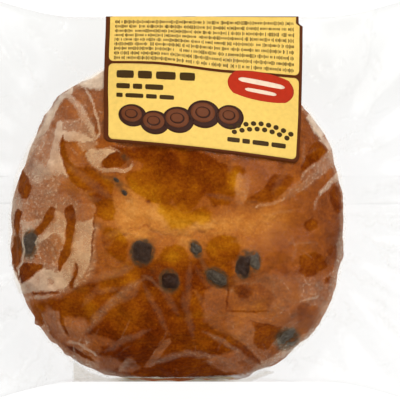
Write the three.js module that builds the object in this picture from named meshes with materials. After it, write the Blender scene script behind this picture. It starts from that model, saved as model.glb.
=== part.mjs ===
// A chocolate chip muffin sealed in a clear flow-wrap film pack, with a printed sticker label.
// Units are millimetres, +Z up. The pack lies on its back, crown up: X runs along the film tube,
// from one crimped end seal to the other, and Y runs across it, with the label over the +Y fold.
// The origin is on the surface that the pack rests on, under the middle of its outline.
import * as THREE from "three";

// ---- Muffin ------------------------------------------------------------------------------------
// A mushroom-topped muffin: a tapered base, baked in a tin, under a wide domed crown.
const MUFFIN_X = -7; // the muffin lies a little to one side in its pack
const MUFFIN_Y = -4.5;
const CROWN_RADIUS = 52;
const CROWN_TOP = 54; // height of the whole muffin, from the resting surface
const RIM_HEIGHT = 28; // where the crown is widest
const CROWN_POWER = 2.3; // above 2, so the dome is fuller than an ellipsoid
const FOOT_RADIUS = 31; // the flat that it stands on
const NECK_RADIUS = 44; // top of the tapered base, under the crown's overhang
const NECK_HEIGHT = 23;
const FOOT_POWER = 1.7; // above 1, so the foot turns up into the side in a round edge
// The rim spreads where the batter ran out furthest, and draws in where it held back: direction and width
// in degrees, share of the radius.
const RIM_BULGES = [
  { towards: -40, width: 22, share: 0.081 },
  { towards: -67, width: 11, share: 0.048 },
  { towards: -110, width: 9, share: 0.02 },
  { towards: -130, width: 22, share: 0.084 },
  { towards: -160, width: 14, share: 0.035 },
  { towards: 154, width: 12, share: -0.022 },
  { towards: 121, width: 7, share: -0.025 },
];

// ---- Film pack ---------------------------------------------------------------------------------
const PACK_LENGTH = 190;
const SEAL_WIDTH = 12; // the flat crimped band at each end
const WAIST_HALF_WIDTH = 57.3; // where the film goes round the muffin
const SEAL_HALF_WIDTH = 68; // the same tube of film pressed flat
const WAIST_HALF_LENGTH = 38; // the outline is straight this far each way, then flares
const FOLD_HEIGHT = 26; // side folds beside the muffin
const SEAL_HEIGHT = 18; // middle of the end seals
const SEAL_DROOP = 4; // the seals' corners hang lower than their middle
const SEAL_WAVE = { height: 1.3, length: 46 };
const DRAW_IN = 12; // the two sheets close up over about this length beyond the muffin
const FILM_BODY = 0.8; // least thickness of the closed solid, at the seals and side folds
const PLEAT = { height: 1.5, spread: 15 }; // folds that fan out from the muffin to the seals, in degrees

// ---- Label -------------------------------------------------------------------------------------
// A sticker round the +Y fold: a front panel over the crown's shoulder, and a back panel underneath.
const LABEL_MIDDLE = 1.4;
const LABEL_HALF_WIDTH = 31;
const LABEL_FRONT_LENGTH = 42.2; // from the fold to the lower edge, at the label's middle
const LABEL_BACK_LENGTH = 22;
const LABEL_TAPER = 0.035; // share of its width that the front loses by bending down over the crown
const LABEL_SKEW = Math.tan(THREE.MathUtils.degToRad(1.3)); // it was stuck on a little askew
const LABEL_EDGE_SLOPE = Math.tan(THREE.MathUtils.degToRad(6.3));
const LABEL_GAP = 0.3;
const LABEL_BODY = 0.5;

// ---- Resolution --------------------------------------------------------------------------------
const STATIONS = 56; // along the tube
const STRIPS = 36; // across each sheet of film
const LABEL_COLUMNS = 16;
const LABEL_FRONT_ROWS = 14;
const LABEL_BACK_ROWS = 8;
const SWEEPS = 500; // of the relaxation that draws the film taut
const OVER_RELAX = 1.7;

const { lerp, smoothstep, degToRad } = THREE.MathUtils;

// Share of the crown's radius, 0 at its middle and 1 at its rim, in the direction of the point.
function crownShare(x, y) {
  const dx = x - MUFFIN_X;
  const dy = y - MUFFIN_Y;
  const angle = Math.atan2(dy, dx);
  const spread = RIM_BULGES.reduce((sum, bulge) => {
    const off = Math.abs(angle - degToRad(bulge.towards));
    const turn = Math.min(off, 2 * Math.PI - off) / degToRad(bulge.width);
    return sum + bulge.share * Math.exp(-turn * turn);
  }, 0);
  return Math.hypot(dx, dy) / (CROWN_RADIUS * (1 + spread));
}

// Height of the dome over a point, or nothing to rest on beyond its rim.
function crownHeight(x, y) {
  const share = crownShare(x, y);
  if (share >= 1) return -Infinity;
  return RIM_HEIGHT + (CROWN_TOP - RIM_HEIGHT) * (1 - share ** CROWN_POWER) ** (1 / CROWN_POWER);
}

// Height of the muffin's underside: flat foot, tapered side, then the crown's overhang.
function undersideHeight(x, y) {
  const radius = crownShare(x, y) * CROWN_RADIUS;
  if (radius >= CROWN_RADIUS) return Infinity;
  if (radius <= FOOT_RADIUS) return 0;
  const upSide = (radius - FOOT_RADIUS) / (NECK_RADIUS - FOOT_RADIUS);
  if (radius <= NECK_RADIUS) return NECK_HEIGHT * upSide ** FOOT_POWER;
  return lerp(NECK_HEIGHT, RIM_HEIGHT, (radius - NECK_RADIUS) / (CROWN_RADIUS - NECK_RADIUS));
}

// Half the pack's outline width at a station: a straight waist that flares to the flat seals.
function halfWidth(x) {
  const flare = smoothstep(Math.abs(x), WAIST_HALF_LENGTH, PACK_LENGTH / 2 - SEAL_WIDTH / 2);
  return lerp(WAIST_HALF_WIDTH, SEAL_HALF_WIDTH, flare);
}

// How far a station is from the waist to a seal, from 0 to 1.
const wing = (x) => smoothstep(Math.abs(x), WAIST_HALF_LENGTH, PACK_LENGTH / 2 - SEAL_WIDTH);

// Mid-height of the flat seal at one end: drooping corners and a shallow wave.
function sealHeight(x, y) {
  const across = y / SEAL_HALF_WIDTH;
  const phase = x < 0 ? 0.4 : 2.1;
  const wave = SEAL_WAVE.height * Math.sin((2 * Math.PI * y) / SEAL_WAVE.length + phase);
  return SEAL_HEIGHT - SEAL_DROOP * across * across + wave;
}

// Mid-height of the film's edge at a station: the side fold beside the muffin, then the seal's corner.
const edgeHeight = (x, y) => lerp(FOLD_HEIGHT, sealHeight(x, y), wing(x));

// Pleats in the wings: a triangle wave round the muffin that dies out at the muffin, the seal and the folds.
function pleat(x, y) {
  const toSeal = wing(x);
  const turns = Math.atan2(y - MUFFIN_Y, Math.abs(x) - WAIST_HALF_LENGTH / 2) / degToRad(PLEAT.spread);
  const wave = Math.abs(turns - Math.floor(turns) - 0.5) * 4 - 1;
  const inside = 1 - (y / halfWidth(x)) ** 6;
  return PLEAT.height * wave * 4 * toSeal * (1 - toSeal) * inside;
}

// ---- Film sheets, drawn taut -------------------------------------------------------------------
const stationX = (i) => PACK_LENGTH * (i / STATIONS - 0.5);
// Strips are narrower towards the folds, where the film turns down steeply.
function stripY(i, j) {
  const s = (2 * j) / STRIPS - 1;
  return halfWidth(stationX(i)) * lerp(s, Math.sin((s * Math.PI) / 2), 0.45);
}

// Weights of the four neighbours of a grid point, by their distances.
function neighbourWeights(before, after) {
  return [1 / (before * (before + after)), 1 / (after * (before + after))];
}

// Weight of the pull towards the pack's mid-height. The pack holds little air, so past the muffin's foot
// its two sheets are drawn together.
const pullWeight = (x) => smoothstep(Math.abs(x - MUFFIN_X), FOOT_RADIUS, CROWN_RADIUS) / (2 * DRAW_IN ** 2);

// A sheet of film pulled taut over what it touches. The rim of the grid is held at the seals and folds,
// each point relaxes to the mean of its neighbours, and limit() keeps the sheet out of the muffin.
function tautSheet(limit) {
  const rows = [];
  for (let i = 0; i <= STATIONS; i++) {
    const x = stationX(i);
    rows.push(Array.from({ length: STRIPS + 1 }, (_, j) => edgeHeight(x, stripY(i, j))));
  }
  const step = PACK_LENGTH / STATIONS;
  const isSeal = (i) => Math.abs(stationX(i)) > PACK_LENGTH / 2 - SEAL_WIDTH;
  for (let sweep = 0; sweep < SWEEPS; sweep++) {
    for (let i = 1; i < STATIONS; i++) {
      if (isSeal(i)) continue;
      for (let j = 1; j < STRIPS; j++) {
        const y = stripY(i, j);
        const [low, high] = neighbourWeights(y - stripY(i, j - 1), stripY(i, j + 1) - y);
        const [back, ahead] = neighbourWeights(step, step);
        const pull = pullWeight(stationX(i));
        const acrossSum = low * rows[i][j - 1] + high * rows[i][j + 1];
        const alongSum = back * rows[i - 1][j] + ahead * rows[i + 1][j];
        const pullSum = pull * edgeHeight(stationX(i), y);
        const mean = (acrossSum + alongSum + pullSum) / (low + high + back + ahead + pull);
        const relaxed = rows[i][j] + OVER_RELAX * (mean - rows[i][j]);
        rows[i][j] = limit(relaxed, stationX(i), y);
      }
    }
  }
  return rows;
}

const upperTaut = tautSheet((z, x, y) => Math.max(z, crownHeight(x, y)));
const lowerTaut = tautSheet((z, x, y) => Math.max(0, Math.min(z, undersideHeight(x, y))));

// The finished sheets: taut film, plus pleats, with the closed solid's least thickness between them.
const upper = upperTaut.map((row, i) =>
  row.map((z, j) => z + FILM_BODY / 2 + pleat(stationX(i), stripY(i, j))),
);
const lower = lowerTaut.map((row, i) =>
  row.map((z, j) => (z > 0 ? Math.max(0, z - FILM_BODY / 2 + pleat(stationX(i), stripY(i, j))) : 0)),
);

// ---- Solids ------------------------------------------------------------------------------------
// A closed body between two point grids of the same size: the first faces out of its own side, the
// second is its back, and a wall joins them all round.
function slabGeometry(front, back) {
  const rows = front.length;
  const columns = front[0].length;
  const count = rows * columns;
  const positions = [...front, ...back].flat().flatMap((p) => [p.x, p.y, p.z]);
  const index = [];
  const at = (i, j) => i * columns + j;
  for (let i = 0; i + 1 < rows; i++) {
    for (let j = 0; j + 1 < columns; j++) {
      const [a, b, c, d] = [at(i, j), at(i + 1, j), at(i + 1, j + 1), at(i, j + 1)];
      index.push(a, b, c, a, c, d);
      index.push(count + a, count + c, count + b, count + a, count + d, count + c);
    }
  }
  const wall = (from, to) => index.push(from, count + from, count + to, from, count + to, to);
  for (let j = 0; j + 1 < columns; j++) {
    wall(at(0, j + 1), at(0, j));
    wall(at(rows - 1, j), at(rows - 1, j + 1));
  }
  for (let i = 0; i + 1 < rows; i++) {
    wall(at(i, 0), at(i + 1, 0));
    wall(at(i + 1, columns - 1), at(i, columns - 1));
  }
  const geometry = new THREE.BufferGeometry();
  geometry.setAttribute("position", new THREE.Float32BufferAttribute(positions, 3));
  geometry.setIndex(index);
  return geometry;
}

// Points of a film sheet, station by station.
const sheetPoints = (sheet) =>
  sheet.map((row, i) => row.map((z, j) => new THREE.Vector3(stationX(i), stripY(i, j), z)));

// Height of a film sheet over any point, between its grid points.
function sheetHeight(sheet, x, y) {
  const along = (x / PACK_LENGTH + 0.5) * STATIONS;
  const i = Math.min(Math.floor(along), STATIONS - 1);
  const across = (k) => {
    let j = 0;
    while (j < STRIPS - 1 && stripY(k, j + 1) < y) j++;
    const share = (y - stripY(k, j)) / (stripY(k, j + 1) - stripY(k, j));
    return lerp(sheet[k][j], sheet[k][j + 1], share);
  };
  return lerp(across(i), across(i + 1), along - i);
}

// The label's middle surface, laid on the film from the front edge, over the fold, to the back edge.
function labelPath(a) {
  const points = [];
  const frontLength = LABEL_FRONT_LENGTH + a * LABEL_EDGE_SLOPE;
  for (let k = LABEL_FRONT_ROWS; k >= 0; k--) {
    const down = (frontLength * k) / LABEL_FRONT_ROWS;
    const x = LABEL_MIDDLE + a * (1 - (LABEL_TAPER * down) / LABEL_FRONT_LENGTH) - down * LABEL_SKEW;
    const y = WAIST_HALF_WIDTH - down;
    points.push(new THREE.Vector3(x, y, sheetHeight(upper, x, y)));
  }
  for (let k = 0; k <= LABEL_BACK_ROWS; k++) {
    const down = (LABEL_BACK_LENGTH * k) / LABEL_BACK_ROWS;
    const x = LABEL_MIDDLE + a + down * LABEL_SKEW;
    const y = WAIST_HALF_WIDTH - down;
    points.push(new THREE.Vector3(x, y, sheetHeight(lower, x, y)));
  }
  return points;
}

// The surface pushed out along its own normals by a distance.
function offsetGrid(grid, distance) {
  const row = (i) => grid[Math.min(Math.max(i, 0), grid.length - 1)];
  const pick = (line, j) => line[Math.min(Math.max(j, 0), line.length - 1)];
  return grid.map((line, i) =>
    line.map((point, j) => {
      const acrossStep = pick(row(i + 1), j).clone().sub(pick(row(i - 1), j));
      const alongStep = pick(line, j + 1).clone().sub(pick(line, j - 1));
      return point.clone().addScaledVector(acrossStep.cross(alongStep).normalize(), distance);
    }),
  );
}

function labelGeometry() {
  const columns = Array.from({ length: LABEL_COLUMNS + 1 }, (_, i) =>
    labelPath(LABEL_HALF_WIDTH * ((2 * i) / LABEL_COLUMNS - 1)),
  );
  const outer = offsetGrid(columns, LABEL_GAP + LABEL_BODY);
  const inner = offsetGrid(columns, LABEL_GAP);
  return slabGeometry(outer, inner);
}

function part(name, geometry, color, roughness) {
  const mesh = new THREE.Mesh(geometry, new THREE.MeshStandardMaterial({ color, roughness, metalness: 0 }));
  mesh.name = name;
  return mesh;
}

const pack = new THREE.Group();
pack.name = "wrapped_muffin";
pack.add(part("film_wrapped_muffin", slabGeometry(sheetPoints(upper), sheetPoints(lower)), 0x9c5a1e, 0.3));
pack.add(part("label", labelGeometry(), 0xf4d978, 0.45));

export default pack;
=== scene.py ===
"""A chocolate chip muffin sealed in a clear flow-wrap pack, with a printed sticker round one side.

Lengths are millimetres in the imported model's own frame, and become metres where a mesh is made. The
pack lies on its back: X runs along the film tube, Y across it, and the crown points up along Z.
"""

import math

import bpy
import numpy as np
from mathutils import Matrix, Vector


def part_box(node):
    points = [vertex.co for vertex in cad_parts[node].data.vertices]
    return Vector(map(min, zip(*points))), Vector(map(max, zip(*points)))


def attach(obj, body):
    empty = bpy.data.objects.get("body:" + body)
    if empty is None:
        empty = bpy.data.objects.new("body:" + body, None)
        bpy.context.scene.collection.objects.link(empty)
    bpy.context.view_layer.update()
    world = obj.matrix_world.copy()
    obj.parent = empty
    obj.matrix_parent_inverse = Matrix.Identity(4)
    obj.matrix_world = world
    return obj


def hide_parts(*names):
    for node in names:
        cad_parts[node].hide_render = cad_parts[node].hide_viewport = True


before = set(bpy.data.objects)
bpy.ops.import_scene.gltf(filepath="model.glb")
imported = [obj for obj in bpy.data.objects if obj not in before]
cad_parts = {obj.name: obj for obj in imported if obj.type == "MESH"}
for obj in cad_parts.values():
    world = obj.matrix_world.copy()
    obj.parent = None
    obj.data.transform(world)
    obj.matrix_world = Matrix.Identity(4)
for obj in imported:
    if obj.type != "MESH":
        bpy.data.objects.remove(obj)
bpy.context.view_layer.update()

MM = 0.001
pack_low, pack_high = (np.array(corner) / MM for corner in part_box("film_wrapped_muffin"))


# ==== The table, the light and the view ==========================================================
# A white light table under soft studio light. Four large softboxes stand round the pack and leave the
# sky over it dark, so that level film stays clear and only tilted film shines.
RIM_HEIGHT = 28.0  # where the muffin is widest, and the height that the view's scale holds for
VIEW_WIDTH, VIEW_PIXELS = 125.6, 400
PIXEL = VIEW_WIDTH / VIEW_PIXELS
VIEW_MIDDLE = (0.0, -0.16)
CAMERA_REACH = 1600.0
SENSOR = 36.0
TABLE_REACH, TABLE_LINES = 12000.0, 9
TABLE_GLOW = 0.90
SKY_LIGHT = 0.14
# Azimuth from +X, elevation, distance, width, height, and strength of each softbox.
SOFTBOXES = (
    ("key", 70.0, 52.0, 1500.0, 1100.0, 800.0, 15.2),
    ("left", 172.0, 45.0, 1500.0, 900.0, 700.0, 6.0),
    ("right", 8.0, 45.0, 1500.0, 900.0, 700.0, 6.0),
    ("front", 262.0, 50.0, 1500.0, 1100.0, 800.0, 5.5),
    ("left_strip", 140.0, 62.0, 1200.0, 60.0, 500.0, 0.7),
    ("right_strip", 30.0, 60.0, 1200.0, 60.0, 500.0, 0.7),
)

view = bpy.data.cameras.new("view")
view.sensor_width = SENSOR
view.lens = SENSOR * CAMERA_REACH / VIEW_WIDTH
camera = bpy.data.objects.new("view", view)
camera.location = (VIEW_MIDDLE[0] * MM, VIEW_MIDDLE[1] * MM, (RIM_HEIGHT + CAMERA_REACH) * MM)
bpy.context.scene.collection.objects.link(camera)
bpy.context.scene.camera = camera

for name, azimuth, elevation, distance, width, height, strength in SOFTBOXES:
    light = bpy.data.lights.new(name, "AREA")
    light.shape = "RECTANGLE"
    light.size = width * MM
    light.size_y = height * MM
    light.energy = strength
    box = bpy.data.objects.new(name, light)
    around, up = math.radians(azimuth), math.radians(elevation)
    away, high = distance * math.cos(up), distance * math.sin(up)
    box.location = (away * math.cos(around) * MM, away * math.sin(around) * MM, high * MM)
    box.rotation_euler = (math.pi / 2 - up, 0.0, around + math.pi / 2)
    bpy.context.scene.collection.objects.link(box)

sky = bpy.data.worlds.new("sky")
sky.use_nodes = True
sky.node_tree.nodes["Background"].inputs["Color"].default_value = (1.0, 1.0, 1.0, 1.0)
sky.node_tree.nodes["Background"].inputs["Strength"].default_value = SKY_LIGHT
bpy.context.scene.world = sky
bpy.context.scene.view_settings.view_transform = "Standard"


def new_material(name):
    """A material with nodes: the material, its node tree and its Principled BSDF."""
    material = bpy.data.materials.new(name)
    material.use_nodes = True
    return material, material.node_tree, material.node_tree.nodes["Principled BSDF"]


def add_node(tree, kind, inputs=(), **settings):
    """Adds a node. Each input is a socket's name or number and a value, which may be a node's output."""
    node = tree.nodes.new(kind)
    for key, value in settings.items():
        setattr(node, key, value)
    for socket, value in inputs:
        if isinstance(value, bpy.types.NodeSocket):
            tree.links.new(value, node.inputs[socket])
        else:
            node.inputs[socket].default_value = value
    return node


def noise(tree, size, detail=3.0, roughness=0.55, stretch=(1.0, 1.0, 1.0)):
    """Noise on Object coordinates, with features about as large as the size given in millimetres."""
    place = add_node(tree, "ShaderNodeTexCoord").outputs["Object"]
    if stretch != (1.0, 1.0, 1.0):
        place = add_node(tree, "ShaderNodeMapping", [("Vector", place), ("Scale", stretch)]).outputs["Vector"]
    settings = [("Vector", place), ("Scale", 1.0 / (size * MM)), ("Detail", detail), ("Roughness", roughness)]
    return add_node(tree, "ShaderNodeTexNoise", settings).outputs["Fac"]


def ramp(tree, value, stops):
    """A colour ramp through (position, colour) stops."""
    node = add_node(tree, "ShaderNodeValToRGB", [("Fac", value)])
    elements = node.color_ramp.elements
    while len(elements) < len(stops):
        elements.new(0.5)
    for element, (position, colour) in zip(elements, stops):
        element.position = position
        element.color = (*colour, 1.0)
    return node.outputs["Color"]


def blend(tree, share, first, second):
    """Mixes two colours or colour outputs by a share."""
    sockets = [(0, share), (6, first), (7, second)]
    return add_node(tree, "ShaderNodeMix", sockets, data_type="RGBA").outputs[2]


def arithmetic(tree, operation, first, second, clamp=False):
    """One step of arithmetic on two numbers or outputs."""
    node = add_node(tree, "ShaderNodeMath", [(0, first), (1, second)], operation=operation, use_clamp=clamp)
    return node.outputs["Value"]


def product(tree, first, second):
    """Two numbers or outputs multiplied."""
    return arithmetic(tree, "MULTIPLY", first, second)


def plus(tree, first, second, clamp=False):
    """Two numbers or outputs added, held between 0 and 1 where clamped."""
    return arithmetic(tree, "ADD", first, second, clamp)


def spread(tree, value, low=0.0, high=1.0, start=0.0, end=1.0, **settings):
    """Maps a number or output from one range to another: low becomes start, and high becomes end."""
    sockets = [("Value", value), ("From Min", low), ("From Max", high), ("To Min", start), ("To Max", end)]
    return add_node(tree, "ShaderNodeMapRange", sockets, **settings).outputs["Result"]


def mark_on(tree, name):
    """The mark that a mesh carries on its points under this name."""
    return add_node(tree, "ShaderNodeAttribute", attribute_name=name).outputs["Fac"]


def bump(tree, height, depth):
    """A bump whose height runs from nothing to a depth in millimetres."""
    sockets = [("Height", height), ("Distance", depth * MM)]
    return add_node(tree, "ShaderNodeBump", sockets).outputs["Normal"]


def make_piece(name, points, faces, material, marks=()):
    """A smooth mesh from points in millimetres and lists of face corners, with named marks on its points."""
    mesh = bpy.data.meshes.new(name)
    mesh.from_pydata((points * MM).tolist(), [], faces)
    mesh.polygons.foreach_set("use_smooth", np.ones(len(mesh.polygons), bool))
    for mark, values in marks:
        layer = mesh.attributes.new(mark, "FLOAT", "POINT")
        layer.data.foreach_set("value", values.astype(np.float32).ravel())
    mesh.materials.append(material)
    mesh.update()
    piece = bpy.data.objects.new(name, mesh)
    bpy.context.scene.collection.objects.link(piece)
    return piece


def grid_faces(rows, columns, wrap=False):
    """Quads of a grid of points that face along rows x columns. Wrapping joins the last column to the
    first."""
    row, column = np.indices((rows - 1, columns if wrap else columns - 1))
    beside = (column + 1) % columns
    corners = (row * columns + column, (row + 1) * columns + column, (row + 1) * columns + beside)
    return np.stack([*corners, row * columns + beside], -1).reshape(-1, 4)


white_table, tree, surface = new_material("white_table")
shade = ramp(tree, noise(tree, 300.0), [(0.3, (0.18, 0.18, 0.179)), (0.7, (0.20, 0.20, 0.199))])
tree.links.new(shade, surface.inputs["Base Color"])
surface.inputs["Roughness"].default_value = 0.9
surface.inputs["Specular IOR Level"].default_value = 0.0
surface.inputs["Emission Color"].default_value = (1.0, 1.0, 0.995, 1.0)
surface.inputs["Emission Strength"].default_value = TABLE_GLOW

side = np.linspace(-TABLE_REACH, TABLE_REACH, TABLE_LINES)
table_x, table_y = np.meshgrid(side, side, indexing="ij")
table_points = np.stack([table_x, table_y, np.zeros_like(table_x)], -1).reshape(-1, 3)
table = make_piece("table", table_points, grid_faces(TABLE_LINES, TABLE_LINES).tolist(), white_table)


# ==== The muffin =================================================================================
# Baked in a tin: the batter rose out of a tapered base and ran out into a wide domed crown. The crust
# is deep brown on the cap and golden where the crumb split it late, and uneven all over.
MUFFIN_X, MUFFIN_Y = -7.0, -4.5
CROWN_RADIUS = 52.0
CROWN_TOP = pack_high[2] - 0.4  # the film solid stands this much over the crown
CROWN_POWER = 2.3
FOOT_RADIUS = 31.0
NECK_RADIUS, NECK_HEIGHT = 44.0, 23.0
FOOT_POWER = 1.7
FOOT_CLEAR = 0.45  # the film runs under the foot
# Bulges and dents of the rim: direction in degrees, half width in degrees, and share of the radius.
BULGE_TOWARDS = np.array([-40.0, -67.0, -110.0, -130.0, -160.0, 154.0, 121.0])
BULGE_WIDTH = np.array([22.0, 11.0, 9.0, 22.0, 14.0, 12.0, 7.0])
BULGE_SHARE = np.array([0.081, 0.048, 0.02, 0.084, 0.035, -0.022, -0.025])
MUFFIN_TURNS, CROWN_RINGS, BASE_RINGS = 500, 145, 52
PROFILE_STEPS = 160  # of the drawn profile, over the rim's radius above it and below it
EDGE_ROUNDING = 5.0  # length over which the profile's corners are rounded
# Lumps of the crust: wavelength and height of each size, largest first.
CRUST_LUMPS = ((19.0, 0.50), (9.0, 0.30), (4.2, 0.13), (2.0, 0.07))
# Where the crust baked lighter (below 0) or darker: x, y, half sizes, turn in degrees, change.
BAKE_PATCHES = np.array([
    (-22.0, -5.0, 8.0, 5.5, -20.0, -0.38),
    (-8.5, -5.6, 9.0, 3.6, -20.0, -0.50),
    (-17.5, -11.0, 9.0, 3.6, -5.0, -0.26),
    (-4.0, -12.6, 8.0, 2.4, 5.0, -0.26),
    (3.0, -7.2, 8.0, 3.4, 0.0, -0.42),
    (16.5, -6.5, 9.0, 5.0, 5.0, -0.38),
    (-18.0, 2.6, 5.5, 2.6, 0.0, -0.20),
    (-8.5, -18.0, 4.0, 3.2, 0.0, -0.26),
    (7.5, -14.5, 6.0, 4.5, 0.0, -0.20),
    (11.0, 6.5, 3.0, 4.5, 0.0, -0.26),
    (-6.0, 13.5, 24.0, 4.5, -6.0, 0.14),
    (6.0, 6.0, 4.5, 5.0, 0.0, 0.16),
    (-15.5, -24.0, 3.4, 3.0, 0.0, 0.30),
    (-4.8, -22.0, 3.6, 2.6, 0.0, 0.22),
    (-14.0, -34.5, 4.2, 4.5, 0.0, 0.06),
    (-17.5, -43.0, 4.5, 5.0, 0.0, 0.18),
    (41.5, -9.0, 4.5, 11.0, 0.0, 0.26),
    (28.0, -27.0, 8.0, 8.0, 0.0, 0.12),
    (29.0, -15.5, 4.5, 3.5, 0.0, -0.08),
    (31.0, -11.0, 7.0, 7.0, 0.0, 0.06),
    (5.0, -31.0, 3.5, 4.5, 0.0, 0.10),
    (-27.0, -15.0, 4.0, 4.0, 0.0, -0.12),
    (-38.0, 8.0, 5.0, 8.0, 0.0, -0.09),
    (-6.0, -42.0, 5.0, 4.0, 0.0, 0.08),
    (13.5, -29.0, 3.0, 2.0, 0.0, 0.14),
    (-5.0, -35.5, 3.6, 3.5, 0.0, -0.18),
    (-3.8, -26.6, 2.8, 3.2, 0.0, 0.22),
    (-10.5, 3.4, 8.0, 3.6, 0.0, -0.14),
    (9.0, 3.0, 4.5, 3.6, 0.0, -0.12),
    (-28.5, 5.5, 6.5, 2.5, 0.0, -0.20),
    (-23.2, -19.6, 2.6, 3.8, 0.0, -0.20),
    (-20.2, -25.0, 2.8, 2.4, 0.0, -0.20),
    (-10.0, -21.0, 2.6, 1.5, 0.0, 0.12),
    (5.5, -35.5, 4.0, 4.2, 0.0, 0.20),
    (3.1, 1.7, 3.0, 2.4, 0.0, -0.10),
    (-20.4, 7.7, 4.0, 3.0, 0.0, -0.20),
    (0.6, -11.0, 3.0, 2.0, 0.0, 0.10),
    (6.6, -4.4, 4.0, 2.6, 0.0, 0.16),
    (-8.2, -9.4, 4.0, 2.0, 0.0, -0.12),
    (-11.9, -42.2, 3.0, 4.0, 0.0, 0.10),
    (28.3, -20.3, 7.0, 3.0, 0.0, -0.10),
    (34.5, 3.6, 5.0, 8.0, 0.0, 0.13),
    (33.3, 19.3, 3.0, 4.0, 0.0, 0.12),
    (16.3, 9.9, 4.5, 2.4, 0.0, 0.14),
    (-30.5, 25.0, 3.0, 9.0, 0.0, 0.10),
    # Painted shade: darker along the crown's lower rim.
    (-2.0, -52.5, 34.0, 3.0, 0.0, 0.10),
    (-16.0, -0.6, 0.7, 0.6, 0.0, 0.60),
    (-32.0, -1.0, 2.0, 4.5, 0.0, 0.16),
    # Painted shade too, towards the crown's lower rim.
    (-12.0, -46.0, 16.0, 7.0, 0.0, 0.09),
    (-26.0, -50.0, 7.0, 4.5, -30.0, 0.22),
    (20.0, -39.0, 6.0, 4.0, 0.0, -0.06),
    (-49.0, -20.0, 6.0, 6.0, 0.0, 0.04),
    (34.0, 20.0, 8.0, 10.0, 0.0, 0.04),
])
# Darker down a crack is painted shade in the recess.
EVEN_BAKE, CROWN_BAKE, CRACK_SHADE = 0.60, 0.10, 0.14  # all over, more on the crown, and more down a crack
BROWNING = ((14.0, 0.05), (5.0, 0.035), (2.2, 0.02))  # wavelength and strength of uneven browning
# The same bake looks deep and clear under clinging film, and pale and dry where the film stands off.
WET_COLOURS = [
    (0.00, (0.560, 0.226, 0.014)),
    (0.25, (0.440, 0.150, 0.0036)),
    (0.45, (0.318, 0.088, 0.0020)),
    (0.62, (0.240, 0.054, 0.0014)),
    (0.80, (0.152, 0.026, 0.0009)),
    (1.00, (0.085, 0.011, 0.0006)),
]
DRY_COLOURS = [
    (0.00, (0.630, 0.262, 0.050)),
    (0.25, (0.520, 0.182, 0.022)),
    (0.45, (0.400, 0.114, 0.010)),
    (0.62, (0.320, 0.080, 0.006)),
    (0.80, (0.240, 0.054, 0.005)),
    (1.00, (0.140, 0.030, 0.004)),
]
# The chocolate chips: x, y, half sizes, turn in degrees, how far each stands out of the crust, its share of
# bloom, and its squareness (2 for an oval, more for a block, less for a lozenge).
CHIPS = np.array([
    (-17.9, -16.4, 3.3, 3.7, -8.0, 1.0, 0.10, 3.2),
    (-9.5, -25.2, 2.7, 3.3, 14.0, 0.9, 0.00, 2.6),
    (-1.3, -15.3, 1.6, 2.6, 24.0, 0.6, 0.70, 1.6),
    (5.3, -24.2, 3.6, 2.5, -36.0, 0.8, 0.75, 1.7),
    (13.8, -20.3, 2.3, 4.1, -10.0, 1.0, 0.05, 2.6),
    (17.0, -19.1, 1.6, 3.0, 4.0, 0.7, 0.85, 2.2),
    (27.2, -43.6, 3.6, 3.2, 35.0, 0.9, 1.00, 1.4),
    (-53.0, -13.8, 2.3, 4.2, -6.0, 0.8, 0.45, 2.6),
    (-26.0, 6.0, 0.9, 0.6, -40.0, 0.3, 0.35, 2.0),
    (-23.4, 2.0, 1.0, 0.7, -52.0, 0.3, 0.40, 2.0),
    (9.0, 20.0, 2.8, 2.5, 10.0, 0.9, 0.40, 2.0),
])
# Chocolate smeared on the crust beside them: x, y, half sizes, turn and strength.
SMEARS = np.array([
    (-23.2, 13.0, 2.2, 0.9, -45.0, 0.75),
    (-26.2, 6.2, 1.3, 1.0, -45.0, 0.70),
    (-24.6, 3.9, 3.2, 1.4, -52.0, 0.62),
    (-56.4, -13.6, 1.3, 2.8, 0.0, 0.60),
    (-14.0, -22.0, 2.2, 1.6, 20.0, 0.25),
    (0.6, -19.0, 0.8, 2.6, 15.0, 0.30),
    (15.0, -16.0, 1.8, 0.9, 0.0, 0.35),
    (-15.4, -13.2, 1.4, 1.4, 0.0, 0.45),
    (10.6, -24.8, 1.5, 1.7, 0.0, 0.40),
])
SMEAR_COLOUR = (0.075, 0.036, 0.014)
# Cracks in the crust: half width, depth, and x and y of each bend.
CRACKS = [
    (0.90, 0.45, (-16.0, -8.0, -13.2, -10.5, -11.0, -11.9, -7.5, -12.1, -4.4, -11.5, -1.3, -10.8,
        1.9, -10.2, 4.1, -9.3, 6.0, -8.3)),
    (0.35, 0.4, (8.8, -32.0, 9.0, -29.5, 8.6, -27.0)),
    (0.40, 0.5, (-25.5, -13.0, -22.5, -9.5, -20.0, -8.8, -16.0, -8.0)),
]
CRACK_WANDER = ((4.0, 0.5),)  # wavelength and reach
# Crumbs that stick out of the rim: x, y, reach and height of each.
CRUMBS = np.array([
    (-51.4, -38.6, 1.0, 1.9),
    (-42.6, -49.0, 1.1, 1.8),
    (-47.2, -44.6, 1.6, 0.8),
    (44.5, -14.0, 1.8, 0.5),
])
FAR = 1000.0  # stands for a height or distance where there is nothing
DEPTH_LIMIT = 8.0  # depths inside an outline are counted this many softnesses each way
OUTLINE_REACH = 3.0  # and no further than this out of it


def smooth_step(value, low, high):
    """Nothing below low, one above high, and the cubic 3t^2 - 2t^3 of the share t between them."""
    share = np.clip((value - low) / (high - low), 0.0, 1.0)
    return share * share * (3.0 - 2.0 * share)


def ripple(points, wavelength, seed, waves=26):
    """Smooth unevenness of unit spread: the scaled sum of sine waves of about one length, in random
    directions."""
    draw = np.random.default_rng(seed)
    heading = draw.normal(size=(waves, points.shape[-1]))
    heading /= np.linalg.norm(heading, axis=1, keepdims=True)
    heading *= 2 * np.pi / (wavelength * draw.uniform(0.7, 1.5, (waves, 1)))
    phase = draw.uniform(0, 2 * np.pi, waves)
    total = sum(np.sin(points @ h + p) for h, p in zip(heading, phase))
    return total * math.sqrt(2.0 / waves)


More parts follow.
